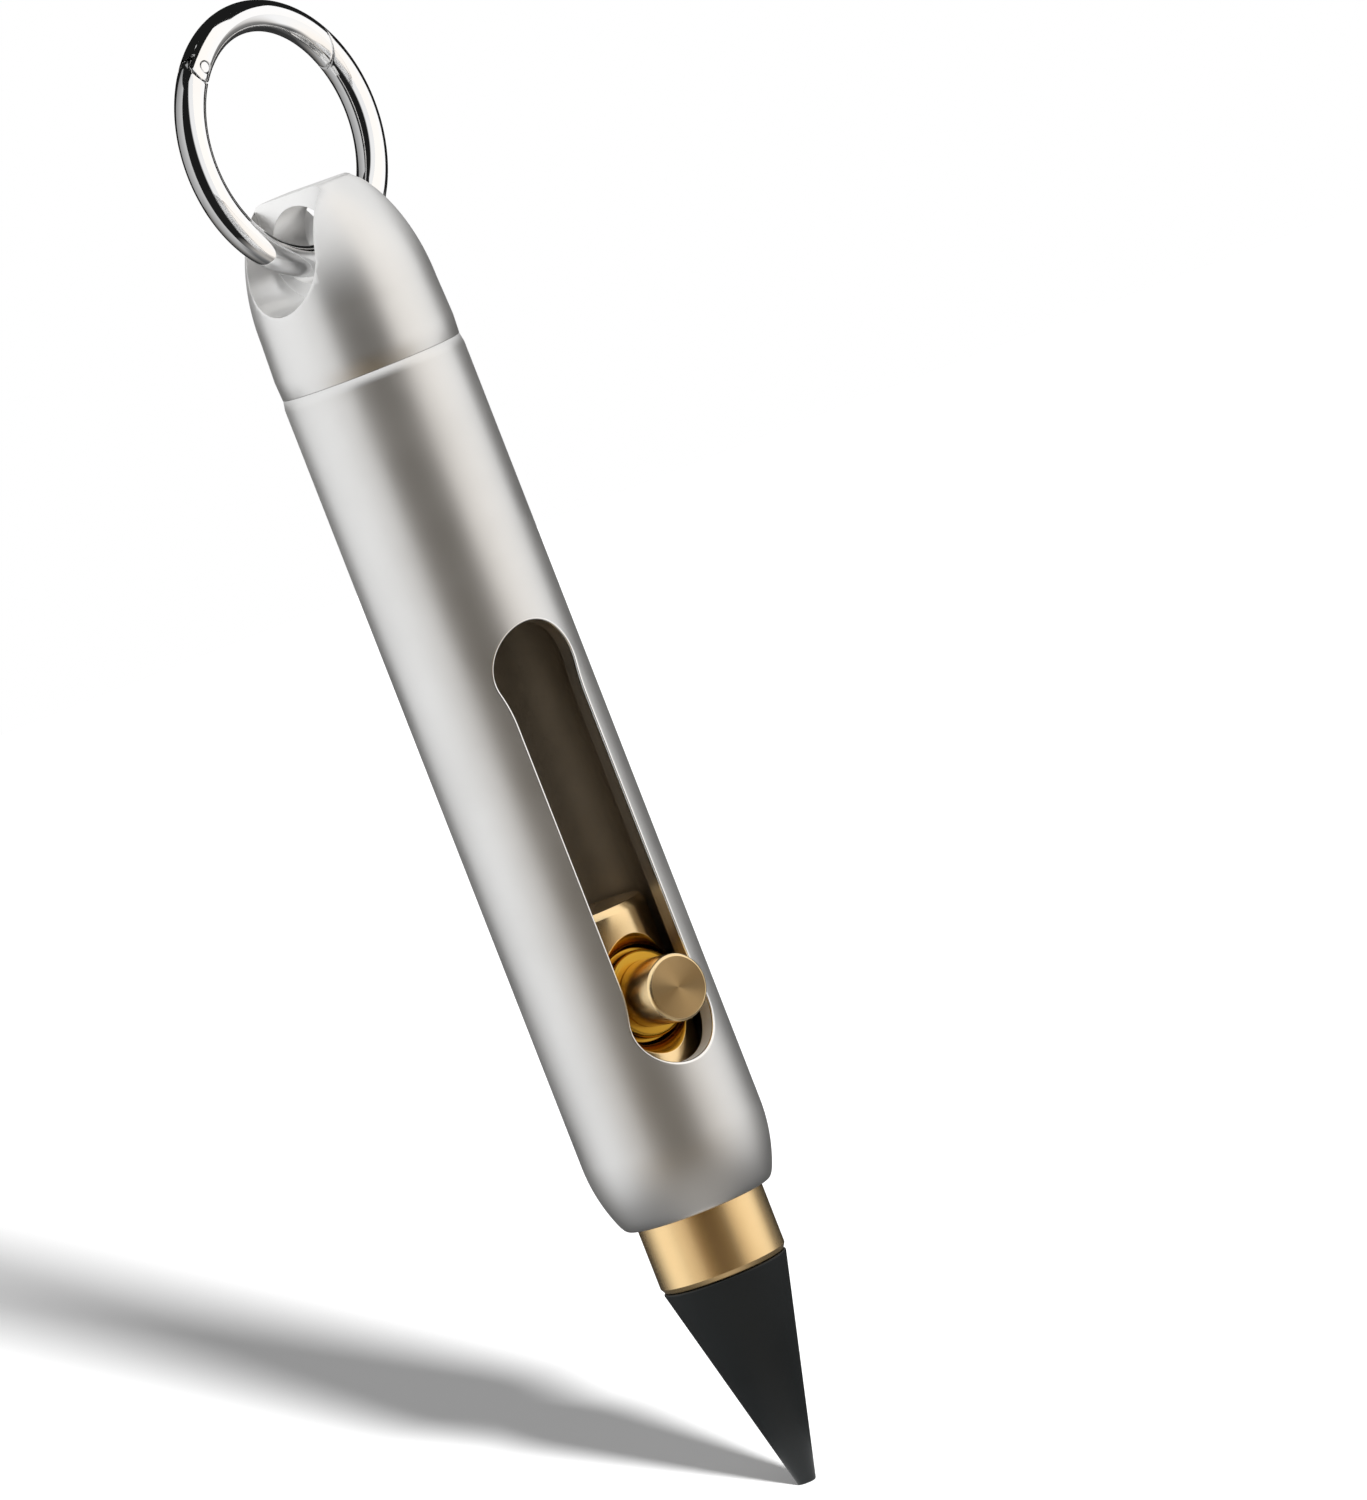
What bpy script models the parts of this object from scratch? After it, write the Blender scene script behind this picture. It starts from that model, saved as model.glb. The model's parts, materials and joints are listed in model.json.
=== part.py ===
"""Retractable key-chain pencil with a permanent metal point, hung from a spring-gate ring.

The pencil stands on its point along +Z, with the origin at the centre of the point's flat end.
Its thumb knob faces -Y. Sizes are in metres.
"""

import math

import bmesh
import bpy
from mathutils import Matrix, Vector

MM = 0.001

# Clearances
SEAT_GAP = 0.05 * MM  # between pieces that are screwed or pressed together
RUN_GAP = 0.15 * MM  # between pieces that slide or turn inside one another
STOP_GAP = 0.10 * MM  # left between two stops at the end of a travel

# Writing point
POINT_LENGTH = 13.75 * MM
POINT_RADIUS = 3.95 * MM
TIP_RADIUS = 0.57 * MM
TIP_ROUND = 0.12 * MM
SHANK_RADIUS = 2.0 * MM
SHANK_LENGTH = 4.0 * MM

# Ferrule that the point is pressed into, with a stud that screws into the slide
FERRULE_RADIUS = 4.0 * MM
FERRULE_LENGTH = 8.75 * MM
FERRULE_SHOW = 4.35 * MM  # length that stands out of the barrel
FERRULE_CHAMFER = 0.3 * MM
FERRULE_LIP = 0.15 * MM  # how far its lower edge is drawn in
STUD_RADIUS = 2.4 * MM
STUD_LENGTH = 3.7 * MM

# Barrel
BARREL_RADIUS = 5.75 * MM
BARREL_WALL = 1.1 * MM
BARREL_LENGTH = 54.05 * MM
NOSE_LENGTH = 3.9 * MM
NOSE_DROP = 0.73 * MM
LIP_HEIGHT = 0.7 * MM
LIP_WIDTH = 0.5 * MM
MOUTH_GAP = 0.2 * MM
TOP_CHAMFER_WIDTH = 0.1 * MM
TOP_CHAMFER_HEIGHT = 0.55 * MM

# Keyhole slot in the barrel, a straight run with a round hole at each end
SLOT_WIDTH = 5.08 * MM
SLOT_HOLE_RADIUS = 2.84 * MM
SLOT_FILLET = 10.0 * MM
SLOT_SETBACK = 11.69 * MM  # front hole's centre above the barrel's mouth
SLOT_TRAVEL = 22.29 * MM  # between the holes' centres

# Slide that carries the point
SLIDE_RADIUS = 3.7 * MM
SLIDE_LENGTH = 14.4 * MM
SLIDE_CHAMFER = 0.45 * MM
COLLAR_LENGTH = 3.4 * MM
COLLAR_CHAMFER = 0.3 * MM
KNOB_BACK = 1.6 * MM  # the knob's place behind the front hole's centre
POCKET_RADIUS = 3.05 * MM
POCKET_FLOOR = 1.0 * MM  # beyond the axis
POCKET_CHAMFER = 0.7 * MM  # of the pocket's mouth, deepest at its top and bottom

# Lock plunger in the slide's pocket, with the knob screwed into it
FLANGE_THICKNESS = 1.1 * MM
BOSS_HEIGHT = 1.1 * MM
BOSS_CHAMFER = 0.3 * MM
STEM_RADIUS = 1.5 * MM
STEM_LENGTH = 1.1 * MM
KNOB_RADIUS = 2.05 * MM
KNOB_PROUD = 1.3 * MM  # above the barrel
KNOB_ROUND = 0.25 * MM
KNOB_STUD_RADIUS = 1.2 * MM
KNOB_STUD_LENGTH = 1.85 * MM

# Plunger spring
LOCK_WIRE = 0.35 * MM
LOCK_COIL_RADIUS = 2.1 * MM
LOCK_TURNS = 2.5

# End cap with a lug for the ring
CAP_HEIGHT = 11.37 * MM
CAP_TAPER_HEIGHT = 3.7 * MM
CAP_TAPER = 0.13 * MM
DOME_HEIGHT = 9.1 * MM  # half axis of the dome's ellipse, which the flat top cuts short
CROWN_EASE = 0.3 * MM  # how far the top's edge is eased on both sides
SPIGOT_LENGTH = 5.15 * MM
SPIGOT_CHAMFER = 0.4 * MM
LUG_TURN = 17.1  # degrees from +X to the lug's hole
LUG_THICKNESS = 3.0 * MM
LUG_CUT_WIDTH = 5.7 * MM  # of the round-bottomed cuts beside the lug
LUG_CUT_RISE = 4.85 * MM  # bottom of the cuts above the cap's base
LUG_HOLE_RADIUS = 2.4 * MM
LUG_HOLE_RISE = 8.25 * MM

# Key ring, with ring angles in degrees clockwise from its top
RING_RADIUS = 7.57 * MM
RING_WIRE_RADIUS = 0.95 * MM
RING_REST_GAP = 0.23 * MM  # under the wire in the lug's hole
HINGE_ANGLE = -41.0
LATCH_ANGLE = 56.0
LATCH_GAP = 0.08 * MM
LATCH_SPREAD = 20.0  # degrees of wire and of cutter to each side of the latch
KNUCKLE_RADIUS = 0.9 * MM
KNUCKLE_GAP = 0.1 * MM
KNUCKLE_SPREAD = 15.0  # degrees of wire past the hinge, before the gate's end is rounded
TONGUE_RADIUS = 0.8 * MM
TONGUE_THICKNESS = 0.8 * MM
TONGUE_ROOT = 1.7 * MM
GATE_PIN_RADIUS = 0.35 * MM
GATE_BORE_RADIUS = 0.45 * MM
GATE_BORE_DEPTH = 2.7 * MM  # from the hinge
GATE_BORE_TURN = 10.0  # degrees that the bore leans in from the hinge's tangent
GATE_PLUNGER_LENGTH = 0.75 * MM
GATE_WIRE = 0.14 * MM
GATE_TURNS = 3

# Fineness of round shapes
BODY_STEPS = 64
SMALL_STEPS = 40
RING_STEP = 5.0  # degrees
RING_BEVEL_STEPS = 6
COIL_STEPS = 24  # in a turn
GATE_COIL_STEPS = 12
ROUND_ARC_STEPS = 24
HINGE_ARC_STEPS = 20
LATCH_ARC_STEPS = 16
DOME_ARC_STEPS = 12
NOSE_ARC_STEPS = 6
SMALL_ARC_STEPS = 4
SMOOTH_ANGLE = 35.0
WELD = 1e-7
AXIS_MARK = 3 * MM

# Places that follow from the sizes, as heights along the pencil
bore_radius = BARREL_RADIUS - BARREL_WALL
barrel_front = POINT_LENGTH + FERRULE_SHOW
barrel_top = barrel_front + BARREL_LENGTH
slot_front = barrel_front + SLOT_SETBACK
slot_rear = slot_front + SLOT_TRAVEL
knob_height = slot_front + KNOB_BACK
ferrule_bottom = POINT_LENGTH + SEAT_GAP
ferrule_top = ferrule_bottom + FERRULE_LENGTH
slide_bottom = ferrule_top + SEAT_GAP
slide_top = slide_bottom + SLIDE_LENGTH
cap_base = barrel_top + SEAT_GAP
cap_top = cap_base + CAP_HEIGHT
lug_hole_height = cap_base + LUG_HOLE_RISE
swing_height = lug_hole_height - LUG_HOLE_RADIUS + RING_REST_GAP + RING_WIRE_RADIUS
ring_height = swing_height + RING_RADIUS

# Distances out from the pencil's axis, towards the knob
boss_radius = (SLOT_WIDTH / 2 + SLOT_HOLE_RADIUS) / 2
boss_top = math.sqrt((bore_radius - RUN_GAP) ** 2 - boss_radius**2)
flange_top = boss_top - BOSS_HEIGHT
flange_bottom = flange_top - FLANGE_THICKNESS
knob_face = BARREL_RADIUS + KNOB_PROUD
knob_seat = boss_top + SEAT_GAP
past_wire = 2 * RING_WIRE_RADIUS

along_knob = Matrix.Translation((0, 0, knob_height)) @ Matrix.Rotation(math.radians(90), 4, "X")
lug_frame = Matrix.Rotation(math.radians(LUG_TURN), 4, "Z")
ring_frame = Matrix.Translation((0, 0, ring_height)) @ lug_frame
across_ring = Matrix.Rotation(math.radians(90), 4, "X")


def clear_scene():
    for obj in list(bpy.data.objects):
        bpy.data.objects.remove(obj, do_unlink=True)


def new_collection(name):
    collection = bpy.data.collections.new(name)
    bpy.context.scene.collection.children.link(collection)
    return collection


def finish_material(name, colour, roughness, metallic):
    material = bpy.data.materials.new(name)
    material.use_nodes = True
    shader = material.node_tree.nodes["Principled BSDF"]
    shader.inputs["Base Color"].default_value = (*colour, 1.0)
    shader.inputs["Roughness"].default_value = roughness
    shader.inputs["Metallic"].default_value = metallic
    return material


def evaluated_mesh(obj):
    """The object's mesh with its modifiers or its curve's bevel made real and its seams welded."""
    bpy.context.view_layer.update()
    graph = bpy.context.evaluated_depsgraph_get()
    mesh = bpy.data.meshes.new_from_object(obj.evaluated_get(graph))
    shape = bmesh.new()
    shape.from_mesh(mesh)
    bmesh.ops.remove_doubles(shape, verts=shape.verts, dist=WELD)
    bmesh.ops.recalc_face_normals(shape, faces=shape.faces)
    shape.to_mesh(mesh)
    shape.free()
    return mesh


def arc(centre, radius, start, end, count):
    """Points on a circle, from start to end degrees anticlockwise from the first axis."""
    points = []
    for step in range(count + 1):
        angle = math.radians(start + (end - start) * step / count)
        across = centre[0] + radius * math.cos(angle)
        along = centre[1] + radius * math.sin(angle)
        points.append((across, along))
    return points


def eased(start, corner, end, count):
    """Points on a curve that leaves start towards the corner and comes in to end from it."""
    points = []
    for step in range(count + 1):
        share = step / count
        before, within, after = (1 - share) ** 2, 2 * share * (1 - share), share**2
        points.append(tuple(before * a + within * b + after * c for a, b, c in zip(start, corner, end)))
    return points


def turned(name, outline, steps=BODY_STEPS, matrix=None):
    """A piece turned about Z from (radius, height) points that run down its outer side.

    An outline that leaves the axis and comes back to it closes by itself. Any other is joined end to start.
    """
    mesh = bpy.data.meshes.new(name)
    edges = [(i, i + 1) for i in range(len(outline) - 1)]
    if outline[0][0] > 0:
        edges.append((len(outline) - 1, 0))
    mesh.from_pydata([(radius, 0, height) for radius, height in outline], edges, [])
    piece = bpy.data.objects.new(name, mesh)
    parts.objects.link(piece)
    screw = piece.modifiers.new("Turn", "SCREW")
    screw.steps = steps
    screw.render_steps = steps
    screw.use_merge_vertices = True
    screw.merge_threshold = WELD
    piece.matrix_world = matrix or Matrix()
    return piece


def helper(name, mesh, matrix):
    """A cutting shape, kept out of renders."""
    obj = bpy.data.objects.new(name, mesh)
    obj.matrix_world = matrix
    obj.hide_render = True
    obj.display_type = "WIRE"
    cutters.objects.link(obj)
    return obj


def prism(name, outline, half_depth, matrix):
    """A helper made from a flat outline, as deep on both sides of its plane."""
    curve = bpy.data.curves.new(name, "CURVE")
    curve.dimensions = "2D"
    curve.fill_mode = "BOTH"
    curve.extrude = half_depth
    spline = curve.splines.new("POLY")
    spline.points.add(len(outline) - 1)
    for point, (across, along) in zip(spline.points, outline):
        point.co = (across, along, 0, 1)
    spline.use_cyclic_u = True
    drawn = bpy.data.objects.new(name, curve)
    cutters.objects.link(drawn)
    mesh = evaluated_mesh(drawn)
    bpy.data.objects.remove(drawn, do_unlink=True)
    return helper(name, mesh, matrix)


def rod(name, radius, start, end, matrix, end_radius=None):
    """A round or conical helper along the matrix's Z, from start to end."""
    shape = bmesh.new()
    bmesh.ops.create_cone(
        shape,
        cap_ends=True,
        segments=SMALL_STEPS,
        radius1=radius,
        radius2=end_radius or radius,
        depth=end - start,
    )
    bmesh.ops.translate(shape, verts=shape.verts, vec=(0, 0, (start + end) / 2))
    mesh = bpy.data.meshes.new(name)
    shape.to_mesh(mesh)
    shape.free()
    return helper(name, mesh, matrix)


def tube(name, points, radius, bevel, matrix):
    """One unbroken wire along the points, with flat ends."""
    curve = bpy.data.curves.new(name, "CURVE")
    curve.dimensions = "3D"
    curve.bevel_depth = radius
    curve.bevel_resolution = bevel
    curve.use_fill_caps = True
    spline = curve.splines.new("POLY")
    spline.points.add(len(points) - 1)
    for point, place in zip(spline.points, points):
        point.co = (*place, 1)
    drawn = bpy.data.objects.new(name, curve)
    parts.objects.link(drawn)
    mesh = evaluated_mesh(drawn)
    bpy.data.objects.remove(drawn, do_unlink=True)
    wire = bpy.data.objects.new(name, mesh)
    parts.objects.link(wire)
    wire.matrix_world = matrix
    return wire


def combine(piece, other, operation):
    change = piece.modifiers.new(other.name, "BOOLEAN")
    change.operation = operation
    change.solver = "EXACT"
    change.object = other


def cut(piece, *others):
    for other in others:
        combine(piece, other, "DIFFERENCE")


def complete(piece, material):
    """Makes the piece's modifiers real, shades it smooth between its edges and gives it its material."""
    piece.data = evaluated_mesh(piece)
    piece.modifiers.clear()
    piece.data.shade_smooth()
    piece.data.set_sharp_from_angle(angle=math.radians(SMOOTH_ANGLE))
    piece.data.materials.clear()
    piece.data.materials.append(material)
    return piece


def joint_axis(name, place, pieces):
    """An empty on a joint's axis, which the pieces that move about it hang from."""
    empty = bpy.data.objects.new(name, None)
    empty.location = place
    empty.empty_display_size = AXIS_MARK
    parts.objects.link(empty)
    bpy.context.view_layer.update()
    for piece in pieces:
        piece.parent = empty
        piece.matrix_parent_inverse = empty.matrix_world.inverted()
    return empty


def coil(name, coil_radius, wire, turns, start, end, steps_a_turn, matrix):
    """A compression spring along the matrix's Z, with the gap between its turns measured and printed."""
    count = round(turns * steps_a_turn)
    low = start + wire / 2
    rise = end - start - wire
    points = []
    for step in range(count + 1):
        angle = math.tau * turns * step / count
        height = low + rise * step / count
        points.append(Vector((coil_radius * math.cos(angle), coil_radius * math.sin(angle), height)))
    half_turn = round(steps_a_turn / 2)
    nearest = min(
        (first - second).length
        for i, first in enumerate(points)
        for second in points[i + half_turn :]
    )
    print(f"{name}: least gap between turns {(nearest - wire) / MM:.2f} mm")
    return tube(name, points, wire / 2, 1, matrix)


def make_writing_point():
    outline = [(0, POINT_LENGTH + SHANK_LENGTH)]
    outline += [(SHANK_RADIUS, POINT_LENGTH + SHANK_LENGTH), (SHANK_RADIUS, POINT_LENGTH)]
    outline += [(POINT_RADIUS, POINT_LENGTH), (TIP_RADIUS, TIP_ROUND)]
    outline += [(TIP_RADIUS - TIP_ROUND, 0), (0, 0)]
    return complete(turned("writing_point", outline), graphite)


def make_ferrule():
    bore = SHANK_RADIUS + SEAT_GAP
    bore_end = POINT_LENGTH + SHANK_LENGTH + SEAT_GAP
    stud_top = ferrule_top + STUD_LENGTH
    outline = [(0, stud_top), (STUD_RADIUS - FERRULE_CHAMFER, stud_top)]
    outline += [(STUD_RADIUS, stud_top - FERRULE_CHAMFER), (STUD_RADIUS, ferrule_top)]
    outline += [(FERRULE_RADIUS - FERRULE_CHAMFER, ferrule_top)]
    outline += [(FERRULE_RADIUS, ferrule_top - FERRULE_CHAMFER)]
    outline += [(FERRULE_RADIUS, ferrule_bottom + FERRULE_CHAMFER)]
    outline += [(FERRULE_RADIUS - FERRULE_LIP, ferrule_bottom)]
    outline += [(bore, ferrule_bottom), (bore, bore_end), (0, bore_end)]
    return complete(turned("nib_ferrule", outline), brass)


def slot_outline():
    """The keyhole slot seen from its front, as (across, height) points."""
    half = SLOT_WIDTH / 2
    reach = SLOT_HOLE_RADIUS + SLOT_FILLET
    blend = math.sqrt(reach**2 - (half + SLOT_FILLET) ** 2)
    lean = math.degrees(math.asin(blend / reach))
    lower = arc((0, slot_front), SLOT_HOLE_RADIUS, 180 - lean, 360 + lean, ROUND_ARC_STEPS)
    lower += arc((half + SLOT_FILLET, slot_front + blend), SLOT_FILLET, 180 + lean, 180, SMALL_ARC_STEPS)
    upper = arc((half + SLOT_FILLET, slot_rear - blend), SLOT_FILLET, 180, 180 - lean, SMALL_ARC_STEPS)
    upper += arc((0, slot_rear), SLOT_HOLE_RADIUS, -lean, 180 + lean, ROUND_ARC_STEPS)
    left = arc((-half - SLOT_FILLET, slot_rear - blend), SLOT_FILLET, lean, 0, SMALL_ARC_STEPS)
    left += arc((-half - SLOT_FILLET, slot_front + blend), SLOT_FILLET, 0, -lean, SMALL_ARC_STEPS)
    outline = []
    for point in lower + upper + left:
        if not outline or math.dist(point, outline[-1]) > WELD:
            outline.append(point)
    if math.dist(outline[0], outline[-1]) < WELD:
        outline.pop()
    return outline


def make_barrel():
    nose_top = barrel_front + LIP_HEIGHT + NOSE_LENGTH
    nose_round = (NOSE_LENGTH**2 + NOSE_DROP**2) / (2 * NOSE_DROP)
    nose_angle = math.degrees(math.asin(NOSE_LENGTH / nose_round))
    lip_top = (BARREL_RADIUS - NOSE_DROP, barrel_front + LIP_HEIGHT)
    lip_corner = (lip_top[0] - LIP_HEIGHT * math.tan(math.radians(nose_angle)), barrel_front)
    lip_end = (lip_top[0] - LIP_WIDTH, barrel_front)
    mouth = FERRULE_RADIUS + MOUTH_GAP
    step_height = slide_bottom - KNOB_BACK - STOP_GAP
    outline = [(BARREL_RADIUS - TOP_CHAMFER_WIDTH, barrel_top)]
    outline += [(BARREL_RADIUS, barrel_top - TOP_CHAMFER_HEIGHT)]
    outline += arc((BARREL_RADIUS - nose_round, nose_top), nose_round, 0, -nose_angle, NOSE_ARC_STEPS)
    outline += eased(lip_top, lip_corner, lip_end, SMALL_ARC_STEPS)[1:]
    outline += [(mouth, barrel_front), (mouth, step_height)]
    outline += [(bore_radius, step_height), (bore_radius, barrel_top)]
    barrel = turned("barrel", outline)
    reach = 2 * BARREL_RADIUS
    turned_forward = Matrix.Translation((0, -reach, 0)) @ Matrix.Rotation(math.radians(90), 4, "X")
    cut(barrel, prism("slot_cut", slot_outline(), reach - RUN_GAP, turned_forward))
    return complete(barrel, steel)


def make_end_cap():
    dome_base = cap_base + CAP_TAPER_HEIGHT
    dome_radius = BARREL_RADIUS - CAP_TAPER
    spigot = bore_radius - RUN_GAP
    spigot_end = cap_base - SPIGOT_LENGTH
    top_angle = math.degrees(math.asin((cap_top - dome_base) / DOME_HEIGHT))
    dome = [
        (dome_radius * across, dome_base + DOME_HEIGHT * rise)
        for across, rise in arc((0, 0), 1, top_angle, 0, DOME_ARC_STEPS)
    ]
    share = CROWN_EASE / math.dist(dome[0], dome[1])
    crown_end = [top + (below - top) * share for top, below in zip(dome[0], dome[1])]
    outline = [(0, cap_top)]
    outline += eased((dome[0][0] - CROWN_EASE, cap_top), dome[0], crown_end, SMALL_ARC_STEPS)
    outline += dome[1:]
    outline += [(BARREL_RADIUS, cap_base), (spigot, cap_base)]
    outline += [(spigot, spigot_end + SPIGOT_CHAMFER), (spigot - SPIGOT_CHAMFER, spigot_end)]
    outline += [(0, spigot_end)]
    cap = turned("end_cap", outline)

    cut_round = LUG_CUT_WIDTH / 2
    cut_height = cap_base + LUG_CUT_RISE + cut_round
    cut_outline = arc((0, cut_height), cut_round, 180, 360, ROUND_ARC_STEPS)
    cut_outline += [(cut_round, cap_top + cut_round), (-cut_round, cap_top + cut_round)]
    upright = Matrix.Rotation(math.radians(90), 4, "Z") @ Matrix.Rotation(math.radians(90), 4, "X")
    for name, side in (("lug_cut_back", 1), ("lug_cut_front", -1)):
        aside = Matrix.Translation((side * (LUG_THICKNESS / 2 + BARREL_RADIUS), 0, 0))
        cut(cap, prism(name, cut_outline, BARREL_RADIUS, lug_frame @ aside @ upright))
    sideways = Matrix.Translation((0, 0, lug_hole_height)) @ Matrix.Rotation(math.radians(90), 4, "Y")
    cut(cap, rod("lug_hole", LUG_HOLE_RADIUS, -LUG_THICKNESS, LUG_THICKNESS, lug_frame @ sideways))
    return complete(cap, steel)


def make_slide():
    collar = bore_radius - RUN_GAP
    collar_top = slide_bottom + COLLAR_LENGTH
    socket = STUD_RADIUS + SEAT_GAP
    socket_end = ferrule_top + STUD_LENGTH + SEAT_GAP
    outline = [(0, slide_top), (SLIDE_RADIUS - SLIDE_CHAMFER, slide_top)]
    outline += [(SLIDE_RADIUS, slide_top - SLIDE_CHAMFER), (SLIDE_RADIUS, collar_top)]
    outline += [(collar - COLLAR_CHAMFER, collar_top), (collar, collar_top - COLLAR_CHAMFER)]
    outline += [(collar, slide_bottom), (socket, slide_bottom), (socket, socket_end), (0, socket_end)]
    slide = turned("slide", outline)
    cut(slide, rod("plunger_pocket", POCKET_RADIUS, -POCKET_FLOOR, BARREL_RADIUS, along_knob))
    inner_mouth = POCKET_RADIUS - POCKET_CHAMFER
    outer_mouth = POCKET_RADIUS + POCKET_CHAMFER + BARREL_WALL
    mouth_start = SLIDE_RADIUS - 2 * POCKET_CHAMFER
    mouth_end = SLIDE_RADIUS + BARREL_WALL
    cut(slide, rod("pocket_mouth", inner_mouth, mouth_start, mouth_end, along_knob, outer_mouth))
    return complete(slide, brass)


def make_lock_plunger():
    flange = POCKET_RADIUS - RUN_GAP
    hole = KNOB_STUD_RADIUS + SEAT_GAP
    hole_end = knob_seat - KNOB_STUD_LENGTH - SEAT_GAP
    stem_end = flange_bottom - STEM_LENGTH
    outline = [(0, hole_end), (hole, hole_end), (hole, boss_top)]
    outline += [(boss_radius - BOSS_CHAMFER, boss_top), (boss_radius, boss_top - BOSS_CHAMFER)]
    outline += [(boss_radius, flange_top), (flange, flange_top), (flange, flange_bottom)]
    outline += [(STEM_RADIUS, flange_bottom), (STEM_RADIUS, stem_end), (0, stem_end)]
    return complete(turned("lock_plunger", outline, SMALL_STEPS, along_knob), brass)


def make_slide_knob():
    stud_end = knob_seat - KNOB_STUD_LENGTH
    outline = [(0, knob_face)]
    outline += arc((KNOB_RADIUS - KNOB_ROUND, knob_face - KNOB_ROUND), KNOB_ROUND, 90, 0, SMALL_ARC_STEPS)
    outline += [(KNOB_RADIUS, knob_seat), (KNOB_STUD_RADIUS, knob_seat)]
    outline += [(KNOB_STUD_RADIUS, stud_end), (0, stud_end)]
    return complete(turned("slide_knob", outline, SMALL_STEPS, along_knob), polished_brass)


def make_lock_spring():
    low = SEAT_GAP - POCKET_FLOOR
    high = flange_bottom - SEAT_GAP
    spring = coil(
        "lock_spring", LOCK_COIL_RADIUS, LOCK_WIRE, LOCK_TURNS, low, high, COIL_STEPS, along_knob
    )
    return complete(spring, spring_steel)


def ring_place(angle, radius=RING_RADIUS):
    """A point in the ring's plane as (right, up), at an angle clockwise from the top."""
    turn = math.radians(angle)
    return radius * math.sin(turn), radius * math.cos(turn)


def ring_tube(name, start, end):
    """A stretch of the ring's wire between two ring angles."""
    count = round((end - start) / RING_STEP)
    points = []
    for step in range(count + 1):
        right, up = ring_place(start + (end - start) * step / count)
        points.append((right, 0, up))
    return tube(name, points, RING_WIRE_RADIUS, RING_BEVEL_STEPS, ring_frame)


def latch_cutter(name, inner, outer):
    """A helper that takes away what lies between two distances from the hinge, near the latch."""
    hinge = ring_place(HINGE_ANGLE)
    latch = ring_place(LATCH_ANGLE)
    aim = math.degrees(math.atan2(latch[1] - hinge[1], latch[0] - hinge[0]))
    outline = arc(hinge, outer, aim - LATCH_SPREAD, aim + LATCH_SPREAD, LATCH_ARC_STEPS)
    outline += arc(hinge, inner, aim + LATCH_SPREAD, aim - LATCH_SPREAD, LATCH_ARC_STEPS)
    return prism(name, outline, past_wire, ring_frame @ across_ring)


def hinge_rod(name, radius, half_length):
    """A round helper on the gate's pin."""
    right, up = ring_place(HINGE_ANGLE)
    place = ring_frame @ Matrix.Translation((right, 0, up)) @ across_ring
    return rod(name, radius, -half_length, half_length, place)


def latch_distance():
    return 2 * RING_RADIUS * math.sin(math.radians(LATCH_ANGLE - HINGE_ANGLE) / 2)


def make_ring_body():
    """The fixed part of the ring, with a tongue in the gate's fork and a slanted nose at the latch."""
    body = ring_tube("ring_body", LATCH_ANGLE - LATCH_SPREAD, 360 + HINGE_ANGLE)
    latch = latch_distance() + LATCH_GAP / 2
    cut(body, latch_cutter("latch_seat", latch - 2 * past_wire, latch))
    cut(body, hinge_rod("knuckle_seat", KNUCKLE_RADIUS + KNUCKLE_GAP, past_wire))
    hinge = ring_place(HINGE_ANGLE)
    root = math.degrees(TONGUE_ROOT / RING_RADIUS)
    chord = ring_place(HINGE_ANGLE - root)
    back = math.degrees(math.atan2(chord[1] - hinge[1], chord[0] - hinge[0]))
    outline = arc(hinge, TONGUE_RADIUS, back - 90, back - 270, HINGE_ARC_STEPS)
    outline += [ring_offset(chord, TONGUE_RADIUS, back + 90), ring_offset(chord, TONGUE_RADIUS, back - 90)]
    tongue = prism("tongue", outline, TONGUE_THICKNESS / 2, ring_frame @ across_ring)
    combine(body, tongue, "UNION")
    cut(body, hinge_rod("tongue_hole", GATE_PIN_RADIUS + SEAT_GAP, past_wire))
    return complete(body, chrome)


def ring_offset(place, distance, angle):
    turn = math.radians(angle)
    return place[0] + distance * math.cos(turn), place[1] + distance * math.sin(turn)


def gate_bore_frame():
    """A frame on the hinge whose Z runs along the gate's spring bore."""
    right, up = ring_place(HINGE_ANGLE)
    lean = Matrix.Rotation(math.radians(90 + HINGE_ANGLE + GATE_BORE_TURN), 4, "Y")
    return ring_frame @ Matrix.Translation((right, 0, up)) @ lean


def make_ring_gate():
    """The swinging part of the ring, forked at its hinge and bored there for its spring."""
    gate = ring_tube("ring_gate", HINGE_ANGLE - KNUCKLE_SPREAD, LATCH_ANGLE + LATCH_SPREAD)
    latch = latch_distance() - LATCH_GAP / 2
    cut(gate, latch_cutter("latch_nose", latch, latch + 2 * past_wire))
    hinge = ring_place(HINGE_ANGLE)
    back = 180 - HINGE_ANGLE
    outline = arc(hinge, KNUCKLE_RADIUS, back - 90, back + 90, HINGE_ARC_STEPS)
    for side in (1, -1):
        edge = ring_offset(hinge, past_wire, back + 90 * side)
        far = ring_offset(edge, 2 * past_wire, back)
        outline += [edge, far][::side]
    cut(gate, prism("knuckle_end", outline, past_wire, ring_frame @ across_ring))
    fork = TONGUE_THICKNESS / 2 + KNUCKLE_GAP
    cut(gate, hinge_rod("fork_slot", TONGUE_RADIUS + RUN_GAP, fork))
    cut(gate, hinge_rod("cheek_holes", GATE_PIN_RADIUS + SEAT_GAP, past_wire))
    cut(gate, rod("spring_bore", GATE_BORE_RADIUS, 0, GATE_BORE_DEPTH, gate_bore_frame()))
    return complete(gate, chrome)


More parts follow.
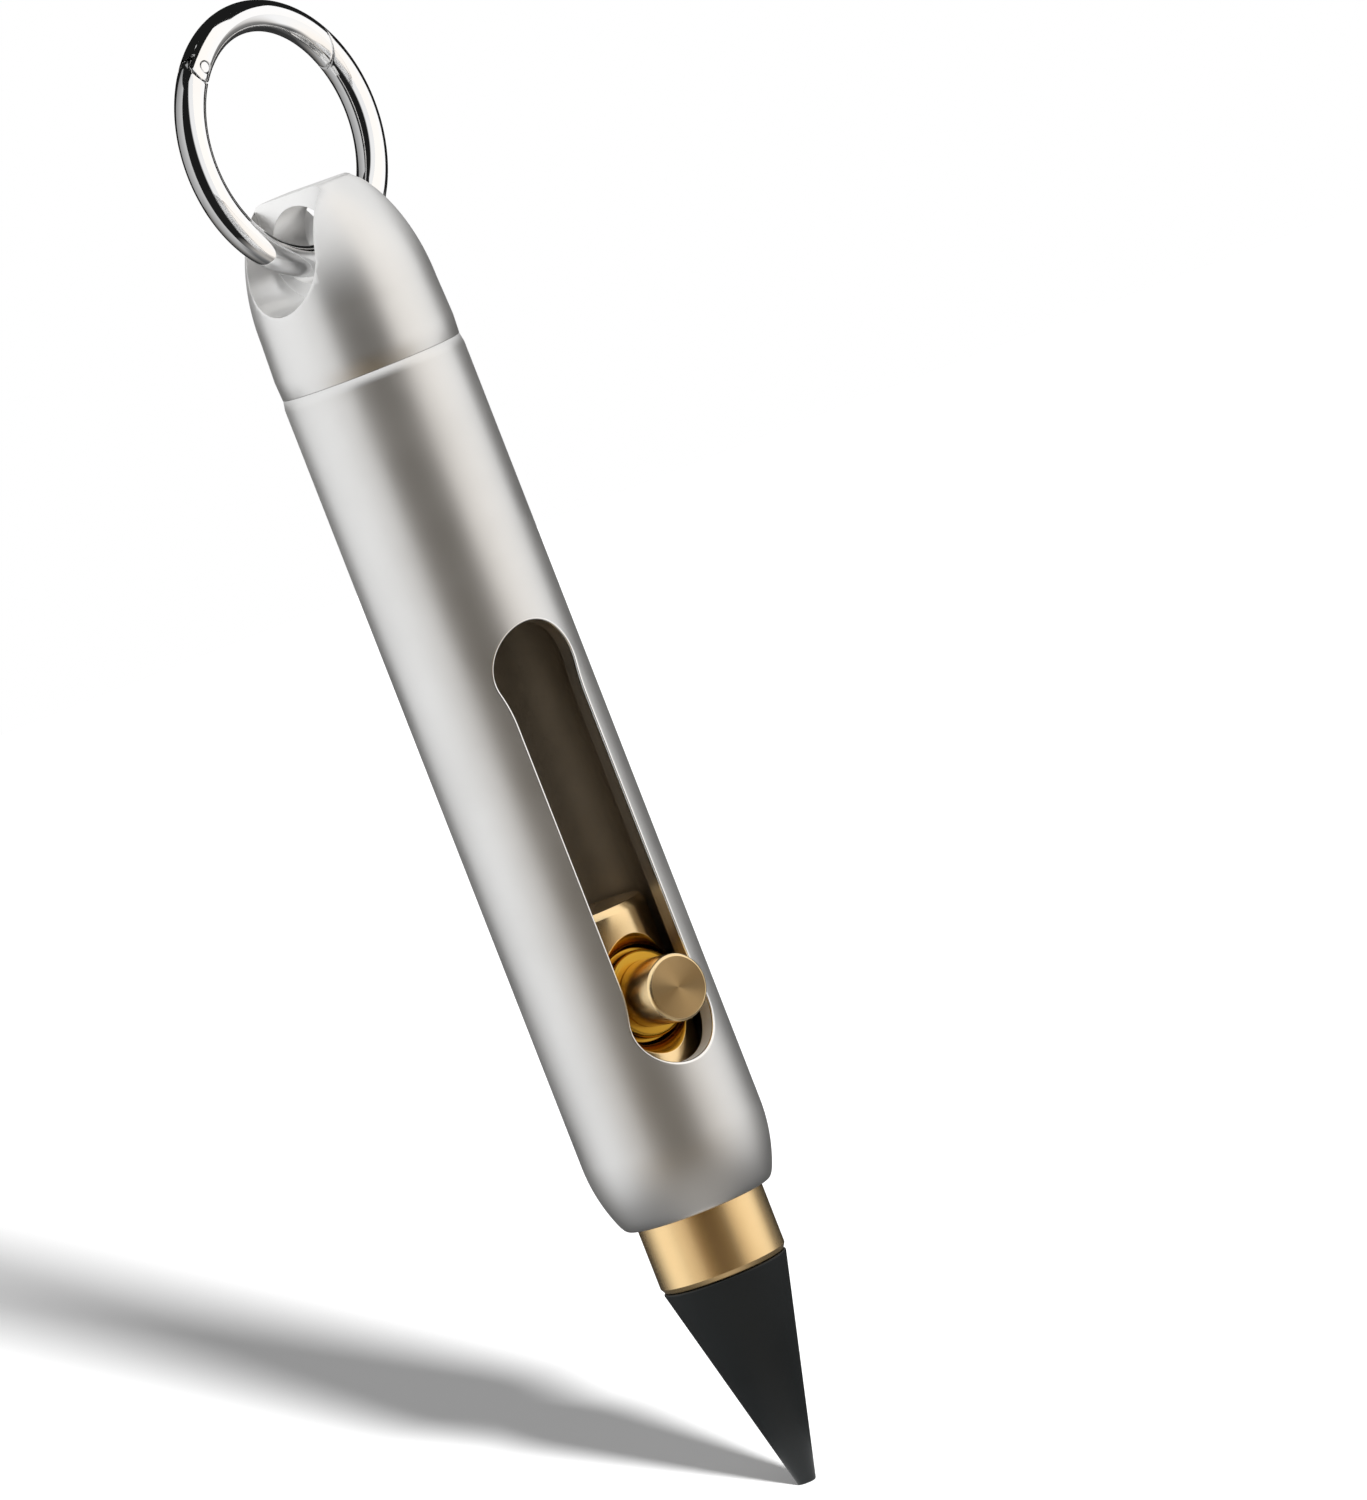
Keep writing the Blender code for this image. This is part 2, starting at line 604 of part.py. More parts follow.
def make_gate_pin():
    half = RING_WIRE_RADIUS - SEAT_GAP
    outline = [(0, half), (GATE_PIN_RADIUS, half), (GATE_PIN_RADIUS, -half), (0, -half)]
    right, up = ring_place(HINGE_ANGLE)
    place = ring_frame @ Matrix.Translation((right, 0, up)) @ across_ring
    return complete(turned("gate_pin", outline, SMALL_STEPS // 2, place), spring_steel)


def make_gate_plunger():
    radius = GATE_BORE_RADIUS - SEAT_GAP
    start = TONGUE_RADIUS + KNUCKLE_GAP
    end = start + GATE_PLUNGER_LENGTH
    outline = [(0, end), (radius, end), (radius, start + radius / 2), (radius / 2, start), (0, start)]
    return complete(turned("gate_plunger", outline, SMALL_STEPS // 2, gate_bore_frame()), spring_steel)


def make_gate_spring():
    low = TONGUE_RADIUS + KNUCKLE_GAP + GATE_PLUNGER_LENGTH + SEAT_GAP
    high = GATE_BORE_DEPTH - SEAT_GAP
    radius = GATE_BORE_RADIUS - SEAT_GAP - GATE_WIRE / 2
    spring = coil(
        "gate_spring", radius, GATE_WIRE, GATE_TURNS, low, high, GATE_COIL_STEPS, gate_bore_frame()
    )
    return complete(spring, spring_steel)


clear_scene()
parts = new_collection("inkless_pencil")
cutters = new_collection("cutters")
steel = finish_material("satin_steel", (0.62, 0.61, 0.59), 0.32, 1.0)
brass = finish_material("satin_brass", (0.72, 0.55, 0.28), 0.28, 1.0)
polished_brass = finish_material("polished_brass", (0.80, 0.62, 0.32), 0.15, 1.0)
graphite = finish_material("graphite_alloy", (0.016, 0.018, 0.019), 0.55, 0.2)
chrome = finish_material("chrome", (0.80, 0.80, 0.80), 0.06, 1.0)
spring_steel = finish_material("spring_steel", (0.55, 0.55, 0.56), 0.3, 1.0)

barrel_pieces = [make_barrel(), make_end_cap()]
slide_pieces = [make_slide(), make_ferrule(), make_writing_point(), make_lock_spring()]
lock_pieces = [make_lock_plunger(), make_slide_knob()]
make_ring_body()
gate_pieces = [make_ring_gate(), make_gate_pin(), make_gate_spring(), make_gate_plunger()]

hinge_right, hinge_up = ring_place(HINGE_ANGLE)
swing_axis = joint_axis("swing_axis", (0, 0, swing_height), barrel_pieces)
slide_axis = joint_axis("slide_axis", (0, 0, slide_bottom), slide_pieces)
press_axis = joint_axis("press_axis", (0, 0, knob_height), lock_pieces)
gate_axis = joint_axis("gate_axis", ring_frame @ Vector((hinge_right, 0, hinge_up)), gate_pieces)
press_axis.parent = slide_axis
press_axis.matrix_parent_inverse = slide_axis.matrix_world.inverted()
slide_axis.parent = swing_axis
slide_axis.matrix_parent_inverse = swing_axis.matrix_world.inverted()
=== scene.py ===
import json
import math

import bmesh
import bpy
from mathutils import Matrix, Vector

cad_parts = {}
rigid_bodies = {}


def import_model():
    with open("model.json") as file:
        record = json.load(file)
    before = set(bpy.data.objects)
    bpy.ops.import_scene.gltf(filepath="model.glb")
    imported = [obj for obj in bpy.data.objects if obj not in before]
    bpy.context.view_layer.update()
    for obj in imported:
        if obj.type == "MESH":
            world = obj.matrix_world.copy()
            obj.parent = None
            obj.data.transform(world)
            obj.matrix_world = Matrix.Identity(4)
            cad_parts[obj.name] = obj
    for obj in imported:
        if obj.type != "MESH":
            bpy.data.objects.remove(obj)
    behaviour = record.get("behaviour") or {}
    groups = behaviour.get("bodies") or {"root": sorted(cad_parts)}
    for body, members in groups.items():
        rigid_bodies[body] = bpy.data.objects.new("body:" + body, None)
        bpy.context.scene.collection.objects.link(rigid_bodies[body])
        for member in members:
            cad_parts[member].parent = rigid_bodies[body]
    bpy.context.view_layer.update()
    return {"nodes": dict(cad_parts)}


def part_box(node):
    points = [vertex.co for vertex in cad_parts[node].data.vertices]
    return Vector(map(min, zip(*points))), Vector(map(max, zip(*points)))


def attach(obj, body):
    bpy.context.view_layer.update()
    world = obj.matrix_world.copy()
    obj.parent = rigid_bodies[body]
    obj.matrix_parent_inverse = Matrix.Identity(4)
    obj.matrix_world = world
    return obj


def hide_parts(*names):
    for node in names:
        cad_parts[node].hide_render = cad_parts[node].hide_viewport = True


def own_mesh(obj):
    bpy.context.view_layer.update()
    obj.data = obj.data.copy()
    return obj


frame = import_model()
print("frame loaded:", len(frame["nodes"]), "nodes")

mm = 0.001
tiny = 1e-6  # a radius or offset below this is none


def boxOf(node):
    low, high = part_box(node)
    return Vector(low) / mm, Vector(high) / mm  # corners in millimetres


# mesh tools work in millimetres until a mesh is stored


def roundedProfile(corners, steps=5):
    # (radius, height, rounding) corners become one smooth outline
    outline = []
    for i, (radius, height, rounding) in enumerate(corners):
        here = Vector((radius, height))
        if rounding == 0:
            outline.append(here)
            continue
        back = (Vector(corners[i - 1][:2]) - here).normalized()
        ahead = (Vector(corners[(i + 1) % len(corners)][:2]) - here).normalized()
        half = back.angle(ahead) / 2
        centre = here + (back + ahead).normalized() * rounding / math.sin(half)
        first = here + back * rounding / math.tan(half) - centre
        last = here + ahead * rounding / math.tan(half) - centre
        for step in range(steps + 1):
            outline.append(centre + first.lerp(last, step / steps).normalized() * rounding)
    return outline


def storeMesh(name, shape, place, weld=1e-4):
    bmesh.ops.remove_doubles(shape, verts=shape.verts, dist=weld)
    bmesh.ops.recalc_face_normals(shape, faces=shape.faces)
    bmesh.ops.scale(shape, vec=(mm, mm, mm), verts=shape.verts)
    mesh = bpy.data.meshes.new(name)
    shape.to_mesh(mesh)
    shape.free()
    piece = bpy.data.objects.new(name, mesh)
    bpy.context.scene.collection.objects.link(piece)
    piece.matrix_world = place
    return piece


def bakePlace(piece):
    # moves the object's place into its mesh, so that its box stays tight
    piece.data.transform(piece.matrix_world)
    piece.matrix_world = Matrix()


def joinRings(shape, first, second, finish=0):
    for i in range(len(first) - 1):
        corners = []
        for vert in (first[i], first[i + 1], second[i + 1], second[i]):
            if vert not in corners:
                corners.append(vert)
        if len(corners) > 2:
            shape.faces.new(corners).material_index = finish


def lathe(name, outline, steps=144, place=Matrix(), finish=0):
    shape = bmesh.new()
    rings = []
    for radius, height in outline:
        if radius < tiny:
            rings.append([shape.verts.new((0, 0, height))] * (steps + 1))
            continue
        turns = [math.tau * i / steps for i in range(steps)]
        ring = [shape.verts.new((radius * math.cos(a), radius * math.sin(a), height)) for a in turns]
        rings.append(ring + ring[:1])
    if outline[0][0] > tiny:
        rings.append(rings[0])  # a hollow profile closes on itself
    for first, second in zip(rings, rings[1:]):
        joinRings(shape, first, second, finish)
    return storeMesh(name, shape, place)


def prism(name, outline, depth, place, finish=0):
    # a flat (across, up) outline pushed both ways out of its plane
    shape = bmesh.new()
    front = [shape.verts.new((across, -depth, up)) for across, up in outline]
    back = [shape.verts.new((across, depth, up)) for across, up in outline]
    for end in (front, back[::-1]):
        shape.faces.new(end).material_index = finish
    joinRings(shape, front + front[:1], back + back[:1], finish)
    return storeMesh(name, shape, place)


def storeTube(name, shape, rows, place):
    for first, second in zip(rows, rows[1:]):
        joinRings(shape, first, second)
    shape.faces.new(rows[0][:-1])
    shape.faces.new(rows[-1][:-1])
    return storeMesh(name, shape, place)


def arcPoints(centre, radius, start, end, steps):
    points = []
    for step in range(steps + 1):
        turn = math.radians(start + (end - start) * step / steps)
        points.append((centre[0] + radius * math.cos(turn), centre[1] + radius * math.sin(turn)))
    return points


def settle(piece):
    bpy.context.view_layer.update()
    graph = bpy.context.evaluated_depsgraph_get()
    mesh = bpy.data.meshes.new_from_object(piece.evaluated_get(graph))
    piece.modifiers.clear()
    piece.data = mesh


def carve(piece, cutter, operation="DIFFERENCE"):
    change = piece.modifiers.new(cutter.name, "BOOLEAN")
    change.operation = operation
    change.solver = "EXACT"
    change.object = cutter
    settle(piece)
    bpy.data.objects.remove(cutter)


def breakEdges(piece, width, spacing, merge=0.012, angle=32):
    # welds the slivers a cut leaves, then rounds every sharp edge
    shape = bmesh.new()
    shape.from_mesh(piece.data)
    bmesh.ops.remove_doubles(shape, verts=shape.verts, dist=merge * mm)
    bmesh.ops.dissolve_degenerate(shape, edges=shape.edges, dist=merge * mm)
    # points close beside a sharp edge, or close together along it, would fold the rounding over
    steepest = math.radians(angle)
    sharp = [edge for edge in shape.edges if edge.is_manifold and edge.calc_face_angle() > steepest]
    onEdge = dict.fromkeys(vert for edge in sharp for vert in edge.verts)  # kept in order, the same each run
    moves = {}
    for vert in onEdge:
        for edge in vert.link_edges:
            other = edge.other_vert(vert)
            if other not in onEdge and edge.calc_length() < 2 * width * mm:
                moves[other] = vert
    bmesh.ops.weld_verts(shape, targetmap=moves)
    bmesh.ops.remove_doubles(shape, verts=[vert for vert in onEdge if vert.is_valid], dist=spacing * mm)
    bmesh.ops.dissolve_degenerate(shape, edges=shape.edges, dist=merge * mm)
    shape.to_mesh(piece.data)
    shape.free()
    bevel = piece.modifiers.new("brokenEdges", "BEVEL")
    bevel.width = width * mm
    bevel.segments = 2
    bevel.limit_method = "ANGLE"
    bevel.angle_limit = steepest
    bevel.use_clamp_overlap = False
    settle(piece)


def finishPiece(piece, body, node, finishes, sharpest=40):
    piece.data.shade_smooth()
    piece.data.set_sharp_from_angle(angle=math.radians(sharpest))
    normals = piece.modifiers.new("evenNormals", "WEIGHTED_NORMAL")
    normals.keep_sharp = True
    for i, material in enumerate(finishes):
        if i < len(piece.data.materials):
            piece.data.materials[i] = material
        else:
            piece.data.materials.append(material)
    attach(piece, body)
    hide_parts(node)
    print("made", piece.name, len(piece.data.polygons), "faces")


def addNode(tree, kind, **values):
    node = tree.nodes.new(kind)
    for key, value in values.items():
        setattr(node, key, value)
    return node


def noiseAt(tree, vector, scale, detail=2.0, roughness=0.5):
    noise = addNode(tree, "ShaderNodeTexNoise")
    noise.inputs["Detail"].default_value = detail
    noise.inputs["Roughness"].default_value = roughness
    tree.links.new(vector, noise.inputs["Vector"])
    if hasattr(scale, "is_linked"):
        tree.links.new(scale, noise.inputs["Scale"])
    else:
        noise.inputs["Scale"].default_value = scale
    return noise.outputs["Fac"]


effectLook = {
    "noiseSpread": (0.3, 0.7),  # where most of a noise's values lie
    "smudgeScale": 160.0,  # per metre, so a smudge is about 6 mm
    "toneScale": 260.0,
    "markStretch": 0.02,  # tool rings run far round the piece and change quickly along it
}


def newEffect(name):
    group = bpy.data.node_groups.new(name, "ShaderNodeTree")
    for label in ("Scale", "Low Roughness", "High Roughness"):
        group.interface.new_socket(label, in_out="INPUT", socket_type="NodeSocketFloat")
    for label in ("Roughness", "Height", "Tone"):
        group.interface.new_socket(label, in_out="OUTPUT", socket_type="NodeSocketFloat")
    return group, addNode(group, "NodeGroupInput"), addNode(group, "NodeGroupOutput")


def closeEffect(group, given, out, height, tone, spread):
    # roughness follows the tone between the two limits
    rough = addNode(group, "ShaderNodeMapRange")
    for label, limit in zip(("From Min", "From Max"), spread):
        rough.inputs[label].default_value = limit
    group.links.new(tone, rough.inputs["Value"])
    group.links.new(given.outputs["Low Roughness"], rough.inputs["To Min"])
    group.links.new(given.outputs["High Roughness"], rough.inputs["To Max"])
    group.links.new(rough.outputs["Result"], out.inputs["Roughness"])
    group.links.new(height, out.inputs["Height"])
    group.links.new(tone, out.inputs["Tone"])
    return group


def buildBlastGrain(look):
    # fine blasted skin with handling smudges
    group, given, out = newEffect("blastGrain")
    place = addNode(group, "ShaderNodeTexCoord").outputs["Object"]
    grain = noiseAt(group, place, given.outputs["Scale"], detail=3.0)
    smudge = noiseAt(group, place, look["smudgeScale"], detail=4.0, roughness=0.6)
    return closeEffect(group, given, out, grain, smudge, look["noiseSpread"])


def buildTurningMarks(look):
    # rings left by a lathe tool around the piece's own Z
    group, given, out = newEffect("turningMarks")
    place = addNode(group, "ShaderNodeTexCoord").outputs["Object"]
    parts = addNode(group, "ShaderNodeSeparateXYZ")
    group.links.new(place, parts.inputs["Vector"])
    squeeze = addNode(group, "ShaderNodeCombineXYZ")
    for label in ("X", "Y"):
        scaled = addNode(group, "ShaderNodeMath", operation="MULTIPLY")
        group.links.new(parts.outputs[label], scaled.inputs[0])
        scaled.inputs[1].default_value = look["markStretch"]
        group.links.new(scaled.outputs[0], squeeze.inputs[label])
    group.links.new(parts.outputs["Z"], squeeze.inputs["Z"])
    lines = noiseAt(group, squeeze.outputs["Vector"], given.outputs["Scale"], roughness=0.6)
    tone = noiseAt(group, place, look["toneScale"], detail=3.0, roughness=0.55)
    return closeEffect(group, given, out, lines, tone, look["noiseSpread"])


blastGrain = buildBlastGrain(effectLook)
turningMarks = buildTurningMarks(effectLook)


# a finish wanders between two tones and two roughnesses
# scale is the fine marks' number per metre, about, and bump is (strength, depth in millimetres)
finishLooks = {
    "satinSteel": {
        "effect": blastGrain, "scale": 9000.0, "tones": ((0.78, 0.78, 0.775), (0.72, 0.718, 0.71)),
        "roughness": (0.38, 0.44), "bump": (0.05, 0.01),
    },
    "satinCapSteel": {
        "effect": blastGrain, "scale": 9000.0, "tones": ((0.79, 0.79, 0.785), (0.73, 0.728, 0.72)),
        "roughness": (0.36, 0.42), "bump": (0.05, 0.01),
    },
    # the lug's cut faces are lighter than the dome as painted light, on a milled finish
    "cutCapPaintedLightSteel": {
        "effect": blastGrain, "scale": 9000.0, "tones": ((0.93, 0.93, 0.925), (0.88, 0.878, 0.87)),
        "roughness": (0.30, 0.36), "bump": (0.05, 0.01),
    },
    # the bore's darker, warmer tone is painted shade inside the tube, on a rough drilled finish
    "drilledPaintedShadeSteel": {
        "effect": blastGrain, "scale": 9000.0, "tones": ((0.52, 0.48, 0.42), (0.44, 0.40, 0.34)),
        "roughness": (0.40, 0.48), "bump": (0.05, 0.01),
    },
    # the rim's lighter colour is a painted highlight; its low roughness is a real milled finish
    "milledPaintedHighlightSteel": {
        "effect": blastGrain, "scale": 9000.0, "tones": ((0.94, 0.94, 0.93), (0.88, 0.875, 0.86)),
        "roughness": (0.12, 0.17), "bump": (0.05, 0.01),
    },
    # the front hole's wall is painted near white as if lit, on a rough blasted finish
    "blastedPaintedLightSteel": {
        "effect": blastGrain, "scale": 9000.0, "tones": ((0.96, 0.94, 0.90), (0.91, 0.89, 0.84)),
        "roughness": (0.78, 0.88), "bump": (0.05, 0.01),
    },
    "satinBrass": {
        "effect": turningMarks, "scale": 18000.0, "tones": ((0.98, 0.72, 0.39), (0.95, 0.67, 0.33)),
        "roughness": (0.24, 0.28), "bump": (0.03, 0.01),
    },
    "slideBrass": {
        "effect": turningMarks, "scale": 18000.0, "tones": ((0.97, 0.75, 0.44), (0.92, 0.67, 0.35)),
        "roughness": (0.22, 0.27), "bump": (0.04, 0.01),
    },
    "polishedBrass": {
        "effect": turningMarks, "scale": 18000.0, "tones": ((0.95, 0.74, 0.44), (0.90, 0.66, 0.34)),
        "roughness": (0.22, 0.28), "bump": (0.04, 0.01),
    },
    # darker and deeper orange than the slide as painted shade in the pocket
    "pocketPaintedShadeBrass": {
        "effect": turningMarks, "scale": 18000.0, "tones": ((0.58, 0.33, 0.045), (0.50, 0.27, 0.025)),
        "roughness": (0.19, 0.25), "bump": (0.04, 0.01),
    },
    # darker than the knob's side as painted shade of the tool grooves; the fan comes from real anisotropy
    "turnedPaintedShadeBrass": {
        "effect": turningMarks, "scale": 18000.0, "tones": ((0.68, 0.48, 0.25), (0.58, 0.39, 0.17)),
        "roughness": (0.55, 0.60), "bump": (0.03, 0.01),
        "stretch": 1.0, "stretchTurn": 0.25,  # a quarter turn, across the tool rings
    },
    "charcoalAlloy": {
        "effect": blastGrain, "scale": 14000.0, "tones": ((0.0045, 0.0062, 0.0066), (0.009, 0.012, 0.0128)),
        "roughness": (0.46, 0.58), "bump": (0.12, 0.01), "metallic": 0.0, "specular": 0.38,
    },
    "mirrorChrome": {
        "effect": blastGrain, "scale": 3000.0, "tones": ((0.95, 0.95, 0.95), (0.88, 0.88, 0.885)),
        "roughness": (0.03, 0.07), "bump": (0.002, 0.005),
    },
    "drawnSpringSteel": {
        "effect": turningMarks, "scale": 30000.0, "tones": ((0.56, 0.56, 0.57), (0.44, 0.44, 0.46)),
        "roughness": (0.24, 0.36), "bump": (0.05, 0.005),
    },
}


def makeFinish(name):
    look = finishLooks[name]
    material = bpy.data.materials.new(name)
    material.use_nodes = True
    tree = material.node_tree
    shader = tree.nodes["Principled BSDF"]
    shader.inputs["Metallic"].default_value = look.get("metallic", 1.0)
    if "specular" in look:
        shader.inputs["Specular IOR Level"].default_value = look["specular"]
    group = addNode(tree, "ShaderNodeGroup", node_tree=look["effect"])
    for label, limit in zip(("Low Roughness", "High Roughness"), look["roughness"]):
        group.inputs[label].default_value = limit
    group.inputs["Scale"].default_value = look["scale"]
    bump = addNode(tree, "ShaderNodeBump")
    strength, depth = look["bump"]
    bump.inputs["Strength"].default_value = strength
    bump.inputs["Distance"].default_value = depth * mm
    tree.links.new(group.outputs["Height"], bump.inputs["Height"])
    tree.links.new(bump.outputs["Normal"], shader.inputs["Normal"])
    tree.links.new(group.outputs["Roughness"], shader.inputs["Roughness"])
    mix = addNode(tree, "ShaderNodeMix", data_type="RGBA")
    tree.links.new(group.outputs["Tone"], mix.inputs["Factor"])
    for label, tone in zip("AB", look["tones"]):
        mix.inputs[label].default_value = (*tone, 1)
    tree.links.new(mix.outputs["Result"], shader.inputs["Base Color"])
    if "stretch" in look:
        # fine tool rings stretch every highlight into a fan across the face
        shader.inputs["Anisotropic"].default_value = look["stretch"]
        shader.inputs["Anisotropic Rotation"].default_value = look["stretchTurn"]
        around = addNode(tree, "ShaderNodeTangent", direction_type="RADIAL", axis="Z")
        tree.links.new(around.outputs["Tangent"], shader.inputs["Tangent"])
    return material


satinSteel = makeFinish("satinSteel")  # blasted outside of the barrel
satinCapSteel = makeFinish("satinCapSteel")
cutCapPaintedLightSteel = makeFinish("cutCapPaintedLightSteel")  # lug's milled faces, lighter than the dome as painted light
drilledPaintedShadeSteel = makeFinish("drilledPaintedShadeSteel")  # dull bore and slot wall, darker and warmer than the skin as painted shade inside the tube
milledPaintedHighlightSteel = makeFinish("milledPaintedHighlightSteel")  # slot's rim, smoother as milled and lighter in colour as a painted highlight
# painted light: the hole's wall is near white, as if lit
blastedPaintedLightSteel = makeFinish("blastedPaintedLightSteel")  # front hole's wall
satinBrass = makeFinish("satinBrass")  # ferrule
slideBrass = makeFinish("slideBrass")
polishedBrass = makeFinish("polishedBrass")  # knob's side
# the plunger and pocket brass is darker as painted shade
pocketPaintedShadeBrass = makeFinish("pocketPaintedShadeBrass")  # plunger and its pocket
# the knob's end is darker as painted shade
turnedPaintedShadeBrass = makeFinish("turnedPaintedShadeBrass")  # knob's end
charcoalAlloy = makeFinish("charcoalAlloy")
mirrorChrome = makeFinish("mirrorChrome")
drawnSpringSteel = makeFinish("drawnSpringSteel")
print("materials made")


pointLook = {
    "tipRadius": 0.57, "tipRound": 0.14, "baseRound": 0.1,
    "shankRadius": 2.0, "shankLength": 4.0, "shankRound": 0.2,
}


def makePoint(look):
    low, high = boxOf("writing_point")
    base = high.z - look["shankLength"]
    shank = look["shankRadius"]
    corners = [(0, high.z, 0), (shank, high.z, look["shankRound"]), (shank, base, 0)]
    corners += [(high.x, base, look["baseRound"])]
    corners += [(look["tipRadius"], low.z, look["tipRound"]), (0, low.z, 0)]
    piece = lathe("writingPoint", roundedProfile(corners))
    finishPiece(piece, "slide", "writing_point", [charcoalAlloy])


ferruleLook = {
    "bore": 2.05, "boreDepth": 4.0, "boreRound": 0.05, "studRadius": 2.4, "studLength": 3.7, "studRound": 0.3,
    "topRound": 0.25, "lowChamfer": (0.18, 0.32), "chamferRounds": (0.08, 0.05),
}


def makeFerrule(look):
    low, high = boxOf("nib_ferrule")
    radius = high.x
    shoulder = high.z - look["studLength"]
    inset, rise = look["lowChamfer"]
    boreEnd = low.z + look["boreDepth"]
    upper, lower = look["chamferRounds"]
    stud, bore = look["studRadius"], look["bore"]
    corners = [(0, high.z, 0), (stud, high.z, look["studRound"]), (stud, shoulder, 0)]
    corners += [(radius, shoulder, look["topRound"])]
    corners += [(radius, low.z + rise, upper), (radius - inset, low.z, lower)]
    corners += [(bore, low.z, look["boreRound"]), (bore, boreEnd, 0), (0, boreEnd, 0)]
    piece = lathe("nibFerrule", roundedProfile(corners))
    finishPiece(piece, "slide", "nib_ferrule", [satinBrass])


makePoint(pointLook)
makeFerrule(ferruleLook)


barrelLook = {
    "wall": 1.1, "mouthRadius": 4.2, "mouthDepth": 2.8, "mouthEase": 0.08,
    "noseLength": 3.9, "noseDrop": 0.73, "noseSteps": 14, "lipHeight": 0.7, "lipWidth": 0.5, "lipSteps": 10,
    "topChamfer": (0.1, 0.55), "topEase": 0.1, "topRound": 0.02, "boreEase": 0.05,
    "slotWidth": 5.08, "holeRadius": 2.84, "slotFillet": 10.0, "slotSetback": 11.69, "slotTravel": 22.29,
    "holeSteps": 36, "filletSteps": 8, "runSteps": 12, "rimRound": 0.16, "rimSteps": 4, "columns": 200,
}


def slotSide(look, front):
    # right-hand edge of the slot from its lower end to its upper end: place and direction into the metal
    half = look["slotWidth"] / 2
    hole, fillet = look["holeRadius"], look["slotFillet"]
    reach = hole + fillet
    blend = math.sqrt(reach**2 - (half + fillet) ** 2)
    lean = math.asin(blend / reach)
    side = []
    for step in range(look["holeSteps"] + 1):
        turn = (math.pi / 2 + lean) * step / look["holeSteps"] - math.pi / 2
        side.append((hole * math.cos(turn), front + hole * math.sin(turn), math.cos(turn), math.sin(turn)))
    for step in range(1, look["filletSteps"] + 1):
        turn = math.pi + lean * (1 - step / look["filletSteps"])
        across, up = math.cos(turn), math.sin(turn)
        side.append((half + fillet * (1 + across), front + blend + fillet * up, -across, -up))
    run = look["slotTravel"] / 2 - blend
    for step in range(1, look["runSteps"] + 1):
        side.append((half, front + blend + run * step / look["runSteps"], 1, 0))
    middle = front + look["slotTravel"] / 2
    upper = [(across, 2 * middle - up, nAcross, -nUp) for across, up, nAcross, nUp in side[-2::-1]]
    return side + upper


